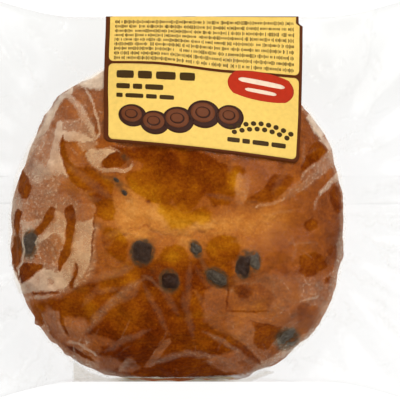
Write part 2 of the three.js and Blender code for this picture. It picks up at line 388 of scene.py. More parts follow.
def ripples(points, seed, waves):
    """The sum of the ripples of each wavelength and height given, with a seed each."""
    return sum(height * ripple(points, size, seed + k) for k, (size, height) in enumerate(waves))


def wander(x, y, seed, waves):
    """Places shifted a little in x and in y by ripples of each wavelength and height given."""
    spot = np.stack([x, y], -1)
    for k, (size, height) in enumerate(waves):
        x = x + height * ripple(spot, size, seed + k)
        y = y + height * ripple(spot, size, seed + len(waves) + k)
    return x, y


def rim_spread(angle):
    """How far the rim runs out in a direction: one, plus a bell curve of the angle for each bulge."""
    off = (np.degrees(angle)[..., None] - BULGE_TOWARDS + 180.0) % 360.0 - 180.0
    return 1.0 + (BULGE_SHARE * np.exp(-((off / BULGE_WIDTH) ** 2))).sum(-1)


def crown_share(x, y):
    """Distance from the crown's middle as a share of the rim's in that direction."""
    dx, dy = x - MUFFIN_X, y - MUFFIN_Y
    return np.hypot(dx, dy) / (CROWN_RADIUS * rim_spread(np.arctan2(dy, dx)))


def crown_height(x, y):
    """The dome: rim height plus the rise times (1 - share^p)^(1/p), and far below everything past the rim."""
    share = crown_share(x, y)
    rise = np.clip(1.0 - share**CROWN_POWER, 0.0, 1.0) ** (1.0 / CROWN_POWER)
    return np.where(share < 1.0, RIM_HEIGHT + (CROWN_TOP - RIM_HEIGHT) * rise, -FAR)


def underside_height(x, y):
    """The flat foot, then a side that rises as a power of the way up it, then the straight overhang."""
    radius = crown_share(x, y) * CROWN_RADIUS
    up_side = np.clip((radius - FOOT_RADIUS) / (NECK_RADIUS - FOOT_RADIUS), 0.0, 1.0)
    overhang = (RIM_HEIGHT - NECK_HEIGHT) * (radius - NECK_RADIUS) / (CROWN_RADIUS - NECK_RADIUS)
    height = NECK_HEIGHT * up_side**FOOT_POWER + np.maximum(overhang, 0.0)
    return np.where(radius < CROWN_RADIUS, height, FAR)


def line_away(x, y, bends):
    """Distance of each point from a line through the bends, given as x and y in turn, and how far along the
    line its nearest place is, from 0 to 1."""
    corners = np.reshape(bends, (-1, 2))
    away, passed = np.full(np.shape(x), FAR), np.zeros(np.shape(x))
    for k, ((x0, y0), (x1, y1)) in enumerate(zip(corners[:-1], corners[1:])):
        run_x, run_y = x1 - x0, y1 - y0
        held = np.clip(((x - x0) * run_x + (y - y0) * run_y) / (run_x**2 + run_y**2), 0.0, 1.0)
        this = np.hypot(x - x0 - held * run_x, y - y0 - held * run_y)
        passed = np.where(this < away, (k + held) / (len(corners) - 1), passed)
        away = np.minimum(away, this)
    return away, passed


def outline_depth(x, y, outline, soft):
    """How deep each point is inside an outline, and below 0 outside it, in steps of its softness: the side is
    the evenness of the crossings of a line to one side, and the distance is the nearest edge's."""
    corners = np.reshape(outline, (-1, 2))
    reach = min(DEPTH_LIMIT * soft, OUTLINE_REACH)
    low, high = corners.min(0) - reach, corners.max(0) + reach
    near = (x > low[0]) & (x < high[0]) & (y > low[1]) & (y < high[1])
    near_x, near_y = x[near], y[near]
    inside = np.zeros(near_x.shape, bool)
    for (x0, y0), (x1, y1) in zip(corners, np.roll(corners, -1, axis=0)):
        if y0 != y1:
            crossed = (x1 - x0) * (near_y - y0) / (y1 - y0) + x0
            inside ^= ((y0 > near_y) != (y1 > near_y)) & (near_x < crossed)
    away, _ = line_away(near_x, near_y, np.concatenate([corners, corners[:1]]))
    depth = np.full(np.shape(x), -DEPTH_LIMIT)
    depth[near] = np.clip(np.where(inside, away, -away) / soft, -DEPTH_LIMIT, DEPTH_LIMIT)
    return depth


def crack_depth(points):
    """Depth of the cracks in the crown: a bell curve of the distance from each, wandering a little."""
    x, y = wander(points[..., 0], points[..., 1], 21, CRACK_WANDER)
    depths = [depth * np.exp(-((line_away(x, y, bends)[0] / half) ** 2)) for half, depth, bends in CRACKS]
    return np.sum(depths, axis=0) * (points[..., 2] > RIM_HEIGHT)


def crust_relief(points):
    """Height of the lumps over the plain form: each size's ripple times its height, flattened on the foot and
    somewhat on the rim, plus a bell for each crumb at the rim, less the cracks."""
    lumps = ripples(points, 11, CRUST_LUMPS)
    on_rim = np.exp(-(((points[..., 2] - RIM_HEIGHT) / 7.0) ** 2))
    away = np.hypot(points[..., :1] - CRUMBS[:, 0], points[..., 1:2] - CRUMBS[:, 1])
    crumbs = (CRUMBS[:, 3] * np.exp(-((away / CRUMBS[:, 2]) ** 2))).sum(-1) * on_rim**6
    calmed = smooth_step(points[..., 2], 0.5, 9.0) * (1.0 - 0.40 * on_rim)
    return lumps * calmed + crumbs - crack_depth(points)


def ellipse_reach(x, y, patches):
    """How far each point lies in each patch: 0 in its middle and 1 on its rim, in turned half sizes."""
    turn = np.radians(patches[:, 4])
    dx, dy = x[..., None] - patches[:, 0], y[..., None] - patches[:, 1]
    along = (dx * np.cos(turn) + dy * np.sin(turn)) / patches[:, 2]
    across = (dy * np.cos(turn) - dx * np.sin(turn)) / patches[:, 3]
    return np.hypot(along, across)


# The profile, from the middle of the crown over the rim to the middle of the foot, with its corners rounded
# by a running mean, and with rings closer on the crown than below it.
lean = np.linspace(0.0, np.pi / 2, PROFILE_STEPS)
dome_r = CROWN_RADIUS * np.sin(lean) ** (2.0 / CROWN_POWER)
dome_z = RIM_HEIGHT + (CROWN_TOP - RIM_HEIGHT) * np.cos(lean) ** (2.0 / CROWN_POWER)
under_r = np.linspace(CROWN_RADIUS, 0.0, PROFILE_STEPS)[1:]
up_side = np.clip((under_r - FOOT_RADIUS) / (NECK_RADIUS - FOOT_RADIUS), 0.0, 1.0)
overhang = np.clip((under_r - NECK_RADIUS) / (CROWN_RADIUS - NECK_RADIUS), 0.0, 1.0)
under_z = NECK_HEIGHT * up_side**FOOT_POWER + (RIM_HEIGHT - NECK_HEIGHT) * overhang
corners = np.stack([np.concatenate([dome_r, under_r]), np.concatenate([dome_z, under_z])], -1)
length = np.concatenate([[0.0], np.cumsum(np.hypot(*np.diff(corners, axis=0).T))])
even = np.linspace(0.0, length[-1], 501)
drawn = np.stack([np.interp(even, length, corners[:, k]) for k in (0, 1)], -1)
window = 2 * int(EDGE_ROUNDING / even[1] / 2) + 1
rounded = np.stack([np.convolve(drawn[:, k], np.ones(window) / window, "valid") for k in (0, 1)], -1)
drawn[window // 2:-(window // 2)] = rounded
to_rim = length[len(dome_r) - 1]
crown_at = np.linspace(0.0, to_rim, CROWN_RINGS + 1)
base_at = np.linspace(to_rim, length[-1], BASE_RINGS)
ring_at = np.concatenate([crown_at, base_at[1:]])
profile = np.stack([np.interp(ring_at, even, drawn[:, k]) for k in (0, 1)], -1)
profile[:, 1] = np.maximum(profile[:, 1], FOOT_CLEAR)

turn = np.linspace(0.0, 2 * np.pi, MUFFIN_TURNS, endpoint=False)
ring_r = profile[1:-1, :1] * rim_spread(turn)[None, :]
ring_z = np.repeat(profile[1:-1, 1:], MUFFIN_TURNS, axis=1)
rings = np.stack([MUFFIN_X + ring_r * np.cos(turn), MUFFIN_Y + ring_r * np.sin(turn), ring_z], -1)
slope = np.gradient(profile, ring_at, axis=0)[1:-1]
slope /= np.linalg.norm(slope, axis=1, keepdims=True)
outward = np.stack([-slope[:, 1:] * np.cos(turn), -slope[:, 1:] * np.sin(turn), slope[:, :1] + 0 * turn], -1)
rings = rings + outward * crust_relief(rings)[..., None]
poles = np.array([[MUFFIN_X, MUFFIN_Y, rings[0, :, 2].mean()], [MUFFIN_X, MUFFIN_Y, rings[-1, :, 2].mean()]])
muffin_points = np.concatenate([rings.reshape(-1, 3), poles])
around = np.arange(MUFFIN_TURNS)
ahead = np.roll(around, -1)
last = (len(profile) - 3) * MUFFIN_TURNS
top_fan = np.stack([around, ahead, np.full_like(around, len(muffin_points) - 2)], -1)
foot_fan = np.stack([last + ahead, last + around, np.full_like(around, len(muffin_points) - 1)], -1)
muffin_faces = grid_faces(len(profile) - 2, MUFFIN_TURNS, wrap=True).tolist()
muffin_faces += top_fan.tolist() + foot_fan.tolist()


def bake_and_shade_of(points):
    """How dark the crust is, from 0 to 1: evenly baked, plus a bell curve for each patch and uneven browning,
    with painted shade in the cracks and along the crown's lower rim.
    """
    patch = np.exp(-(ellipse_reach(points[..., 0], points[..., 1], BAKE_PATCHES) ** 2)) * BAKE_PATCHES[:, 5]
    crown = smooth_step(points[..., 2], RIM_HEIGHT - 3.0, RIM_HEIGHT + 6.0)
    browned = ripples(points, 31, BROWNING)
    bake_and_shade = EVEN_BAKE + CROWN_BAKE * crown + patch.sum(-1) * crown + browned
    return np.clip(bake_and_shade + CRACK_SHADE * crack_depth(points), 0.0, 1.0)


# ---- Where grease holds the film to the crust ---------------------------------------------------
# Places seen from above, in view pixels. Each outline has a name, the film's haze inside it (0 where the film
# clings), the softness of its edge, and its corners, across and down. A later one lies over an earlier one.
CLING_HAZE = 0.02  # less haze than this counts as clinging
LOOSENING = 1.6  # how much shallower film clings at that limit than where it has no haze at all
HAZE_ELSEWHERE = 0.013
# Wavelength and reach of the wandering of edges, and wavelength and share of the haze's unevenness.
EDGE_WANDER, HAZE_UNEVEN = ((6.0, 0.13), (2.4, 0.09)), ((9.0, 0.10), (3.0, 0.07))
# The palest outlines, such as the streaks, the level crease and the pale bands and hook, are partly standing
# film and partly painted highlights.
FILM_PATCHES = [
    ("left third", 0.135, 4, (58, 97, 50, 110, 46, 125, 40, 133, 30, 150, 20, 170, 12, 200, 9, 230, 10, 262,
        18, 290, 28, 298, 60, 295, 90, 290, 92, 262, 96, 222, 95, 206, 88, 197, 78, 190, 68, 186, 62, 178,
        52, 170, 54, 150, 57, 125, 62, 112)),
    ("lower right", 0.055, 4, (262, 276, 300, 278, 330, 276, 335, 284, 325, 305, 300, 345, 262, 362, 245, 352,
        229, 330, 228, 290, 245, 284)),
    ("clearer lower right", 0.03, 3, (270, 342, 288, 340, 292, 350, 284, 358, 272, 357)),
    ("middle", 0, 4, (122, 264, 148, 258, 204, 258, 232, 262, 236, 286, 208, 292, 203, 320, 232, 338,
        250, 352, 262, 368, 235, 382, 200, 384, 150, 382, 112, 370, 90, 354, 66, 345, 48, 335, 34, 318,
        30, 304, 60, 296, 74, 288, 92, 278, 110, 276)),
    ("gold", 0.03, 4, (100, 200, 118, 196, 135, 196, 150, 204, 165, 210, 190, 226, 213, 216, 232, 206,
        262, 207, 282, 206, 284, 240, 262, 250, 240, 246, 210, 236, 190, 248, 160, 246, 130, 240, 112, 226,
        96, 222)),
    ("pale rim left", 0.26, 2, (36, 136, 44, 137, 41, 150, 35, 162, 29, 174, 21, 172, 25, 155)),
    ("calmer left", 0.125, 2, (18, 201, 30, 197, 44, 196, 54, 200, 50, 207, 44, 214, 38, 219, 30, 221,
        22, 219, 18, 210)),
    ("by the cap", 0.03, 2, (62, 182, 72, 184, 84, 190, 93, 196, 96, 206, 90, 204, 78, 203, 66, 201,
        58, 194)),
    ("five-sided patch", 0.1, 1, (41, 243, 47, 237, 56, 233, 59, 240, 62, 245, 60, 252, 56, 262, 52, 264,
        46, 262, 40, 252)),
    ("above band", 0.055, 1, (77, 205, 88, 205, 93, 210, 94.5, 218, 86, 221.5, 76, 221.5)),
    ("cap", 0, 1.6, (112, 146, 130, 148, 150, 146, 180, 148, 205, 152, 214, 158, 222, 163, 232, 166, 240, 165,
        246, 170, 243, 180, 236, 186, 234, 198, 230, 206, 214, 206, 209, 200, 206, 195, 200, 200, 195, 207,
        190, 213, 183, 213, 176, 207, 172, 200, 168, 204, 160, 204, 150, 202, 142, 198, 135, 192, 128, 186,
        124, 178, 128, 172, 140, 170, 143, 164, 135, 160, 126, 157)),
    ("yellow", 0, 3, (158, 201, 168, 202, 176, 206, 185, 212, 193, 210, 204, 206, 213, 213, 210, 221,
        202, 225, 195, 222, 190, 226, 182, 230, 172, 229, 166, 222, 158, 212)),
    ("left of cap", 0, 1, (61.5, 136, 63.5, 137, 66, 142, 71, 145, 74, 149, 76, 154, 80, 158, 86, 162,
        90, 166, 96, 171, 104, 174, 112, 176, 114, 184, 112, 198, 115, 210, 114, 221, 104, 221, 96.5, 216,
        95, 205, 88, 193, 78, 187, 70, 180, 66, 172, 62, 160, 60.5, 148)),
    ("fold shade", 0.055, 1.2, (64, 143, 70, 144, 76, 150, 78, 156, 72, 158, 67, 152)),
    ("wedge haze", 0.025, 1.5, (70, 146, 78, 150, 84, 156, 88, 163, 84, 168, 76, 166, 70, 160, 67, 152)),
    ("far left", 0.17, 3, (14, 180, 24, 150, 36, 140, 42, 142, 36, 160, 30, 180, 22, 200, 14, 210)),
    ("red zone", 0.1, 2, (50, 196, 66, 194, 76, 206, 76, 222, 66, 214, 56, 212, 50, 206)),
    ("left rim haze", 0.25, 1, (13, 199, 20, 198, 22, 206, 20, 212, 14, 214, 11, 208)),
    ("low rim haze", 0.4, 1, (15, 270, 19, 272, 20, 280, 20, 286, 17, 286, 15, 278)),
    ("rim patch left", 0, 1.2, (20, 172, 24, 169, 28, 176, 31, 186, 30, 195, 27, 199, 22, 198, 18, 190,
        18, 180)),
    ("beside the tall band", 0.31, 2, (36, 160, 46, 166, 44, 176, 42, 182, 34, 184, 33, 172)),
    ("fringe low", 0.3, 1.5, (26, 152, 32, 143, 38, 134, 41, 137, 36, 146, 31, 155, 26, 163, 22, 160)),
    ("oval left of the chips", 0, 1.6, (104, 228, 112, 227, 120, 230, 127, 240, 128, 252, 126, 262, 118, 262,
        112, 256, 106, 250, 101, 240)),
    ("oval between the left chips", 0, 1.8, (161, 249, 168, 246, 176, 244, 184, 247, 188, 253, 188, 262,
        180, 265, 170, 266, 162, 262, 160, 256)),
    ("oval between the right chips", 0, 1.6, (207, 243, 213, 238, 222, 235, 230, 235, 236, 238, 240, 246,
        240, 254, 235, 260, 224, 264, 212, 262, 207, 256, 205, 249)),
    ("by the left fold", 0.05, 0.8, (62, 100, 65, 98.5, 70, 100, 74, 104, 77, 110, 78, 116, 76, 119,
        70, 119.5, 63, 120, 59, 122, 56, 127, 53, 129, 52, 124, 54, 116, 57, 108)),
    ("between streaks", 0.055, 0.8, (70, 93, 75, 88, 80, 86, 85, 87, 88, 90, 90, 98, 93, 110, 95, 118,
        96, 126, 92, 125, 86, 113, 80, 103, 75, 97)),
    ("fringe", 0.42, 1, (36, 138, 41, 131, 46, 120, 50, 111, 56, 103, 62, 96, 66, 92.5, 72, 87, 72, 92,
        66, 97.5, 61, 102, 56, 110, 52, 120, 49, 128, 44, 134)),
    ("fringe top", 0.5, 1, (80, 84, 88, 78, 96, 74.5, 104, 70.5, 108, 68, 107.5, 88, 104, 89, 98, 90.5,
        92, 90, 88, 88, 83, 86.5)),
    ("beside label", 0.05, 2, (92, 91, 100, 90.5, 108, 89, 106, 110, 105, 128, 104, 138, 100, 130, 97, 112,
        94, 100)),
    ("streak one", 0.33, 0.8, (64, 94, 70, 95, 75, 99, 80, 104, 84, 110, 88, 117, 92, 125, 95, 131, 97, 136,
        94, 138, 90, 134, 86, 128, 82, 122, 78, 113, 76, 108, 73, 103, 68, 99, 64, 97)),
    ("under the fold", 0.16, 0.8, (62, 121, 66, 120.5, 76, 120, 79, 118, 83, 124, 87, 130, 90, 135, 84, 134,
        76, 131.5, 66, 131, 62, 130)),
    ("strip under the crease", 0.17, 1, (76, 143, 84, 143, 92, 142, 96, 141, 98, 144, 94, 147, 88, 150,
        82, 150)),
    ("level crease", 0.46, 0.7, (61, 131.5, 66, 131, 76, 132, 84, 134, 92, 138, 95, 139, 90, 141, 84, 142,
        76, 141, 70, 141, 65, 140, 63.5, 136)),
    ("tall pale band", 0.39, 0.8, (58, 123, 61, 121, 62, 130, 61, 135, 60, 142, 60, 150, 61, 158, 63, 166,
        66, 173, 68, 177, 62, 173, 58, 176, 54, 174, 50, 179, 46, 178, 43, 180, 42, 175, 45, 168, 49, 160,
        52, 150, 54, 140, 55, 131)),
    ("pale hook", 0.38, 0.8, (98, 150, 102, 149, 106, 148, 110, 149, 114, 152, 114, 154, 108, 155, 104, 158,
        101, 163, 101, 167, 96, 168, 92, 165, 88, 160, 87, 154, 90, 150, 94, 149)),
    ("eye of the hook", 0, 0.5, (102, 163, 104, 158, 108, 155.5, 114, 153, 120, 150, 124, 153, 127, 158,
        126, 163, 121, 167, 112, 168, 105, 167)),
    ("red rim", 0, 0.5, (17, 208, 22, 211, 21, 220, 20, 228, 19, 236, 16, 236, 14, 228, 14, 216)),
    ("by the chip", 0, 0.5, (14, 236, 19, 236, 22, 242, 22.5, 250, 22, 256, 20, 262, 17, 268, 20, 280,
        18, 280, 13, 262, 12, 250)),
    ("pale above the left chip", 0.34, 0.7, (22, 220, 30, 221.5, 36, 220, 41, 219, 38, 224, 33, 229,
        28, 228.5, 25, 231, 24, 236, 22, 236, 22.5, 228)),
    ("slanted contact", 0, 0.8, (51, 206, 56, 209, 54, 216, 51, 222, 47, 228, 42, 233, 39, 238, 31, 237,
        33, 231, 38, 227, 42, 221, 46, 213)),
    ("diagonal", 0.3, 0.8, (57, 213, 62, 213, 65, 216, 65, 230, 65, 244, 62, 243, 60, 237, 57, 233, 50, 235,
        44, 239, 39, 244, 38, 241, 43, 234, 50, 227, 55, 221)),
    ("long contact", 0, 0.5, (68, 206, 72, 204, 75, 208, 76, 216, 75, 228, 73, 240, 71, 250, 69, 256, 66, 261,
        63, 268, 60, 272, 58, 270, 58, 260, 60, 252, 64, 244, 66, 238, 66, 228, 65, 218, 66, 210)),
    ("low left contact", 0, 0.5, (21, 264, 26, 262, 34, 263, 40, 264.5, 44.5, 266, 41, 269, 36, 272.5,
        30, 277, 25, 281, 21, 283, 20, 274)),
    ("pale branch", 0.33, 0.7, (75.5, 222, 85, 222, 94, 219, 93, 228, 91.5, 240, 90.5, 252, 89, 263, 87, 270,
        82, 277, 79, 279, 78, 272, 78.5, 265, 76, 261, 74, 266, 72, 272, 70, 278, 66, 283, 60, 280, 58, 274,
        62, 270, 66, 263, 71, 256, 74, 246, 75.5, 234)),
    ("foot of the branch", 0.42, 0.7, (17, 286, 24, 283, 30, 279, 37, 273.5, 44, 268, 50, 270, 58, 273,
        64, 271, 68, 270, 72, 272, 70, 279, 67, 286, 64, 290, 56, 291, 46, 290, 38, 291, 30, 292, 21, 292.5)),
    ("left of the foot", 0.5, 1, (17, 286, 24, 283, 30, 280, 34, 284, 34, 291, 21, 292)),
    ("dull spot in the foot", 0.22, 1, (47, 279, 51, 277, 54, 281, 52, 284, 48, 284)),
    ("slit", 0, 0.5, (76, 262, 78.5, 266, 77.5, 272, 75, 280, 73, 288, 70, 288, 70, 282, 73, 276, 75, 270)),
    ("scrap one", 0.25, 0.6, (75, 279, 77, 278.5, 77, 286, 75.5, 287)),
    ("below the foot", 0.013, 1, (34, 299, 50, 297, 66, 297, 68, 308, 60, 311, 46, 311, 40, 306)),
    ("scrap by the left rim", 0.12, 0.8, (50, 312, 59, 311, 60, 316, 58, 320, 54, 318, 49, 315)),
    ("scrap two", 0.11, 0.7, (74, 332, 80, 331, 86, 330, 85, 335, 80, 336, 75, 338)),
    ("rim low left", 0.05, 1, (44, 322, 48, 330, 54, 338, 60, 344, 66, 350, 58, 350, 48, 340, 40, 328)),
    ("low left haze", 0.06, 3, (48, 306, 60, 318, 84, 318, 90, 328, 84, 336, 92, 350, 76, 352, 60, 342,
        50, 330, 44, 316)),
    ("low edge haze", 0.035, 2, (82, 352, 100, 356, 118, 358, 122, 366, 112, 370, 96, 366, 84, 358)),
    ("low edge pale", 0.13, 1.5, (78, 349, 90, 355, 98, 361, 98, 367, 90, 367, 80, 360)),
    ("pale low left", 0.02, 2, (84, 336, 95, 334, 108, 338, 118, 343, 112, 346, 100, 346, 101, 352, 95, 356,
        86, 350, 80, 344)),
    ("low strip", 0.045, 0.8, (144, 366, 150, 358, 157, 349, 164, 340, 170, 338.5, 171, 343, 163, 353,
        155, 363, 151, 368)),
    ("grey low", 0.03, 1.2, (118, 367, 123, 362, 127, 357.5, 131, 357, 136, 362, 141, 367, 137, 371, 128, 373,
        119, 371)),
    ("bottom rim", 0.022, 1.5, (130, 376, 150, 377, 200, 378, 240, 375, 256, 370, 256, 380, 240, 384,
        150, 384, 128, 382)),
    ("beside streaks", 0.03, 2, (204, 292, 211, 288, 222, 288, 227, 296, 226, 312, 221, 322, 210, 327,
        204, 318)),
    ("contact under the label", 0.004, 1.0, (245, 204, 247, 199, 256, 193, 264, 187, 270, 180, 274, 174,
        284, 174, 294, 177, 292, 184, 284, 194, 272, 201, 258, 204)),
    ("pale column", 0.08, 1.5, (236, 175, 240, 172, 247, 178, 249, 190, 246, 199, 242, 205, 237, 204,
        235, 194)),
    ("contact by the label", 0, 1.0, (304, 158, 309, 150, 314, 143, 320, 141, 326, 146, 328, 152, 322, 156,
        314, 163, 306, 170, 301, 172, 302, 164)),
    ("fringe right", 0.45, 1, (309, 114, 313, 120, 318, 127, 324, 134, 321, 138, 316, 133, 311, 125,
        307, 118)),
    ("fringe right low", 0.3, 1.5, (322, 137, 327, 141, 333, 151, 330, 153, 325, 146, 320, 141)),
    ("right contact", 0.006, 1.3, (329, 192, 334, 186, 338, 186, 341, 196, 342, 208, 338, 214, 334, 210,
        331, 203)),
    ("small contact right", 0.004, 0.8, (305, 222, 312, 218, 319, 223, 318, 228, 309, 231, 304, 228)),
    ("square contact one", 0.014, 0.8, (272, 251, 280, 251, 286, 252, 284, 256, 281, 258, 282, 262, 286, 266,
        290, 272, 284, 274, 276, 270, 266, 267, 266, 258)),
    ("square contact two", 0.005, 0.8, (299, 256, 306, 254, 316, 252, 322, 254, 326, 262, 327, 268, 320, 271,
        315, 275, 306, 277, 299, 273, 300, 266)),
    ("rim contact right", 0.013, 0.8, (328, 250, 337, 245, 341, 252, 339, 262, 330, 258)),
    ("low rim contact", 0.004, 0.8, (322, 286, 326, 278, 332, 275, 336, 278, 334, 286, 328, 292, 322, 292)),
    ("boxed contact", 0.014, 1.0, (229, 296, 234, 290, 243, 286, 252, 284, 262, 285, 268, 289, 273, 294,
        274, 299, 271, 306, 268, 311, 226, 311, 229, 303)),
    ("top of the boxed contact", 0.006, 1.2, (233, 288, 240, 285, 248, 285, 254, 287, 253, 294, 247, 299,
        240, 298, 235, 294)),
    ("below the boxed contact", 0.05, 1, (229, 313, 268, 313, 276, 308, 288, 318, 288, 330, 280, 324,
        252, 320, 250, 330, 240, 336, 228, 330)),
    ("low right veil", 0.085, 2, (302, 284, 322, 283, 334, 282, 330, 296, 322, 306, 304, 304, 298, 294)),
    ("rim right", 0.08, 1.2, (344, 232, 343, 250, 340, 268, 335, 286, 328, 301, 321, 315, 312, 329, 307, 326,
        315, 311, 322, 297, 329, 282, 334, 266, 337, 250, 338, 236)),
    ("low right band", 0.035, 2, (228, 352, 240, 350, 262, 366, 250, 374, 232, 373, 216, 368, 205, 361)),
    ("contact left of the low chip", 0.004, 1.0, (251, 322, 256, 324, 264, 326, 272, 326, 278, 327, 281, 326,
        279, 332, 277, 338, 272, 346, 266, 350, 258, 349, 253, 343, 253, 336, 256, 330)),
    ("contact right of the low chip", 0.014, 1.0, (298, 306, 302, 303, 308, 303, 314, 305, 320, 308, 320, 316,
        316, 324, 310, 330, 304, 334, 299, 334, 297, 328, 298, 318)),
    ("rim low right", 0.15, 1.2, (254, 368, 262, 362, 272, 357, 282, 352, 292, 348, 300, 342, 306, 336,
        311, 327, 316, 330, 308, 343, 300, 352, 290, 359, 278, 366, 266, 371, 256, 374)),
    ("rim streak band", 0.06, 1.5, (330, 152, 336, 164, 322, 175, 308, 186, 296, 194, 284, 200, 280, 196,
        292, 187, 302, 176, 312, 166, 322, 157)),
    ("band end", 0.15, 2, (321, 161, 330, 153, 334, 158, 330, 165, 322, 171, 317, 173, 315, 168)),
    ("second streak", 0.32, 0.7, (339, 171, 341, 177, 335, 181.5, 329, 187, 323, 193, 320, 196, 320, 192,
        325, 186, 330, 180, 335, 175)),
]
# Creases and runs between them: haze, half width, and bends. Those with no haze are wet and dark.
# The pale creases are partly whitened film and partly painted highlights; the crust under the dark ones gets
# painted shade.
FILM_STREAKS = [
    (0.34, 1.2, (81, 86, 86, 89, 90, 95, 93, 103, 96, 113, 98.5, 123, 99.5, 132, 97, 138, 91, 141)),
    (0.17, 0.9, (77, 99, 82, 107, 88, 118, 94, 130)),
    (0.26, 1.8, (92, 164, 100, 169, 108, 170, 116, 170, 124, 171, 130, 169, 132, 164)),
    (0.2, 0.8, (108, 146, 116, 150, 121, 153)),
    (0.15, 0.9, (69, 147, 75, 153, 80, 158)),
    (0.4, 1, (24, 230, 22.5, 241, 24.5, 251, 23.5, 257, 20.5, 266, 17, 275)),
    (0.32, 0.9, (40, 235, 36, 242, 38, 251, 42, 260)),
    (0, 0.9, (95.5, 205, 95.5, 216, 93.5, 232, 91.5, 250, 90.5, 262)),
    (0, 1.2, (28, 293.5, 36, 294, 45, 293.5, 54, 292.5, 62, 293.5)),
    (0.24, 1.3, (28, 297, 36, 298, 44, 297.5, 50, 296)),
    (0.13, 1.1, (41, 310, 45, 320, 48, 330, 50, 336)),
    (0.15, 1.2, (57, 320, 61, 328, 66, 337)),
    (0, 1.7, (60, 314, 63, 324, 70, 337)),
    (0, 2, (66, 346, 80, 352.5, 98, 363)),
    (0.24, 1.3, (64, 341, 70, 342, 77, 343.5, 84, 347, 92, 352, 101, 358.5)),
    (0.13, 1, (73, 346, 76, 354, 79, 358)),
    (0.1, 1, (118, 340, 125, 338, 131, 341)),
    (0.07, 4, (144, 279, 130, 288, 114, 301, 98, 316, 88, 332)),
    (0.06, 1.6, (142, 275, 150, 279, 160, 288, 167, 296)),
    (0.045, 3, (112, 302, 126, 298, 140, 286)),
    (0.04, 2.2, (96, 293, 106, 290, 120, 287)),
    (0.075, 2.2, (203, 332, 215, 337, 225, 343, 237, 351, 247, 360, 260, 369)),
    (0.075, 2.6, (150, 366, 165, 358.5, 185, 353.5, 205, 355, 225, 361, 245, 369)),
    (0.055, 3.8, (90, 282, 104, 276, 120, 272, 134, 266)),
    (0.05, 2.6, (104, 352, 118, 344, 134, 336, 150, 330)),
    (0.18, 0.8, (337, 148, 322, 160, 310, 169, 298, 182)),
    (0.14, 0.7, (338, 156, 325, 166, 312, 175, 300, 184, 288, 192)),
    (0.15, 0.7, (336, 162, 326, 171, 315, 179, 305, 187, 294, 196)),
    (0, 1, (226, 311, 245, 311.5, 269, 311.5)),
    (0, 0.8, (228, 284, 227.5, 296, 226, 312)),
    (0, 0.9, (250, 320.5, 264, 325, 282, 327)),
    (0, 0.9, (222, 333, 236, 340, 246, 348, 256, 358, 264, 367)),
    (0.075, 1.4, (238, 336, 250, 347, 264, 361)),
    (0.13, 1.1, (330, 154, 318, 162, 308, 170, 300, 178)),
    (0.12, 1.2, (334, 162, 322, 170, 312, 178, 302, 186, 290, 195)),
    (0.12, 1.5, (290, 195, 278, 201, 264, 206, 250, 209)),
    (0.09, 1.5, (320, 196, 315, 203, 314, 211)),
    (0.26, 1.2, (299, 301, 306, 299, 313, 298.5, 321, 297)),
    (0.07, 1.2, (303, 140, 304, 152, 303, 166)),
    (0.07, 1.2, (268, 216, 282, 212, 296, 210)),
    (0.08, 1, (284, 240, 298, 244, 318, 242)),
    (0.06, 1.2, (290, 232, 296, 246, 292, 262)),
    (0.42, 0.8, (42, 240, 48, 236, 54, 232.5, 58, 233.5)),
]
# Softness of a crease's edge. A faint crease, of the first haze or less, adds this share of its half width to
# that, and a strong one, of the second or more, nothing.
LINE_SOFT, FAINT_SOFT, FAINT_TO_STRONG = 0.14, 0.6, (0.06, 0.16)
# Share of a crease's length over which each end narrows, and share of its width that is left there.
CREASE_TAPER, CREASE_TIP = 0.22, 0.25
# More creases that run in towards the crown, drawn at random: fine ones near the rim, and broad faint ones
# from far up the crown. The limits are of the number, share of the rim's radius, length, half width and haze.
draw = np.random.default_rng(57)
random_streaks = []
for count, nearest, shortest, longest, thin, thick, faint, strong in (
        (36, 0.80, 2.5, 8.0, 0.12, 0.24, 0.03, 0.07),
        (44, 0.50, 6.0, 20.0, 0.40, 1.20, 0.021, 0.036)):
    angle = draw.uniform(0, 2 * np.pi, count)
    reach = CROWN_RADIUS * draw.uniform(nearest, 1.0, count)
    heading = angle + draw.normal(0.0, 0.4, count)
    run = draw.uniform(shortest, longest, count)
    x, y = MUFFIN_X + reach * np.cos(angle), MUFFIN_Y + reach * np.sin(angle)
    bends = np.stack([x, y, x - run * np.cos(heading), y - run * np.sin(heading)], -1)
    random_streaks += list(zip(draw.uniform(faint, strong, count), draw.uniform(thin, thick, count), bends))


def crown_place(bends):
    """The places on the crown that view pixels show: across and down from the view's middle, drawn in to
    the camera's axis by the share of its reach that the crown stands over the rim."""
    across, down = np.reshape(bends, (-1, 2)).T - VIEW_PIXELS / 2
    share = np.ones_like(across)
    for _ in range(3):
        x, y = VIEW_MIDDLE[0] + across * PIXEL * share, VIEW_MIDDLE[1] - down * PIXEL * share
        share = 1.0 - (np.maximum(crown_height(x, y), RIM_HEIGHT) - RIM_HEIGHT) / CAMERA_REACH
    return np.stack([x, y], -1)


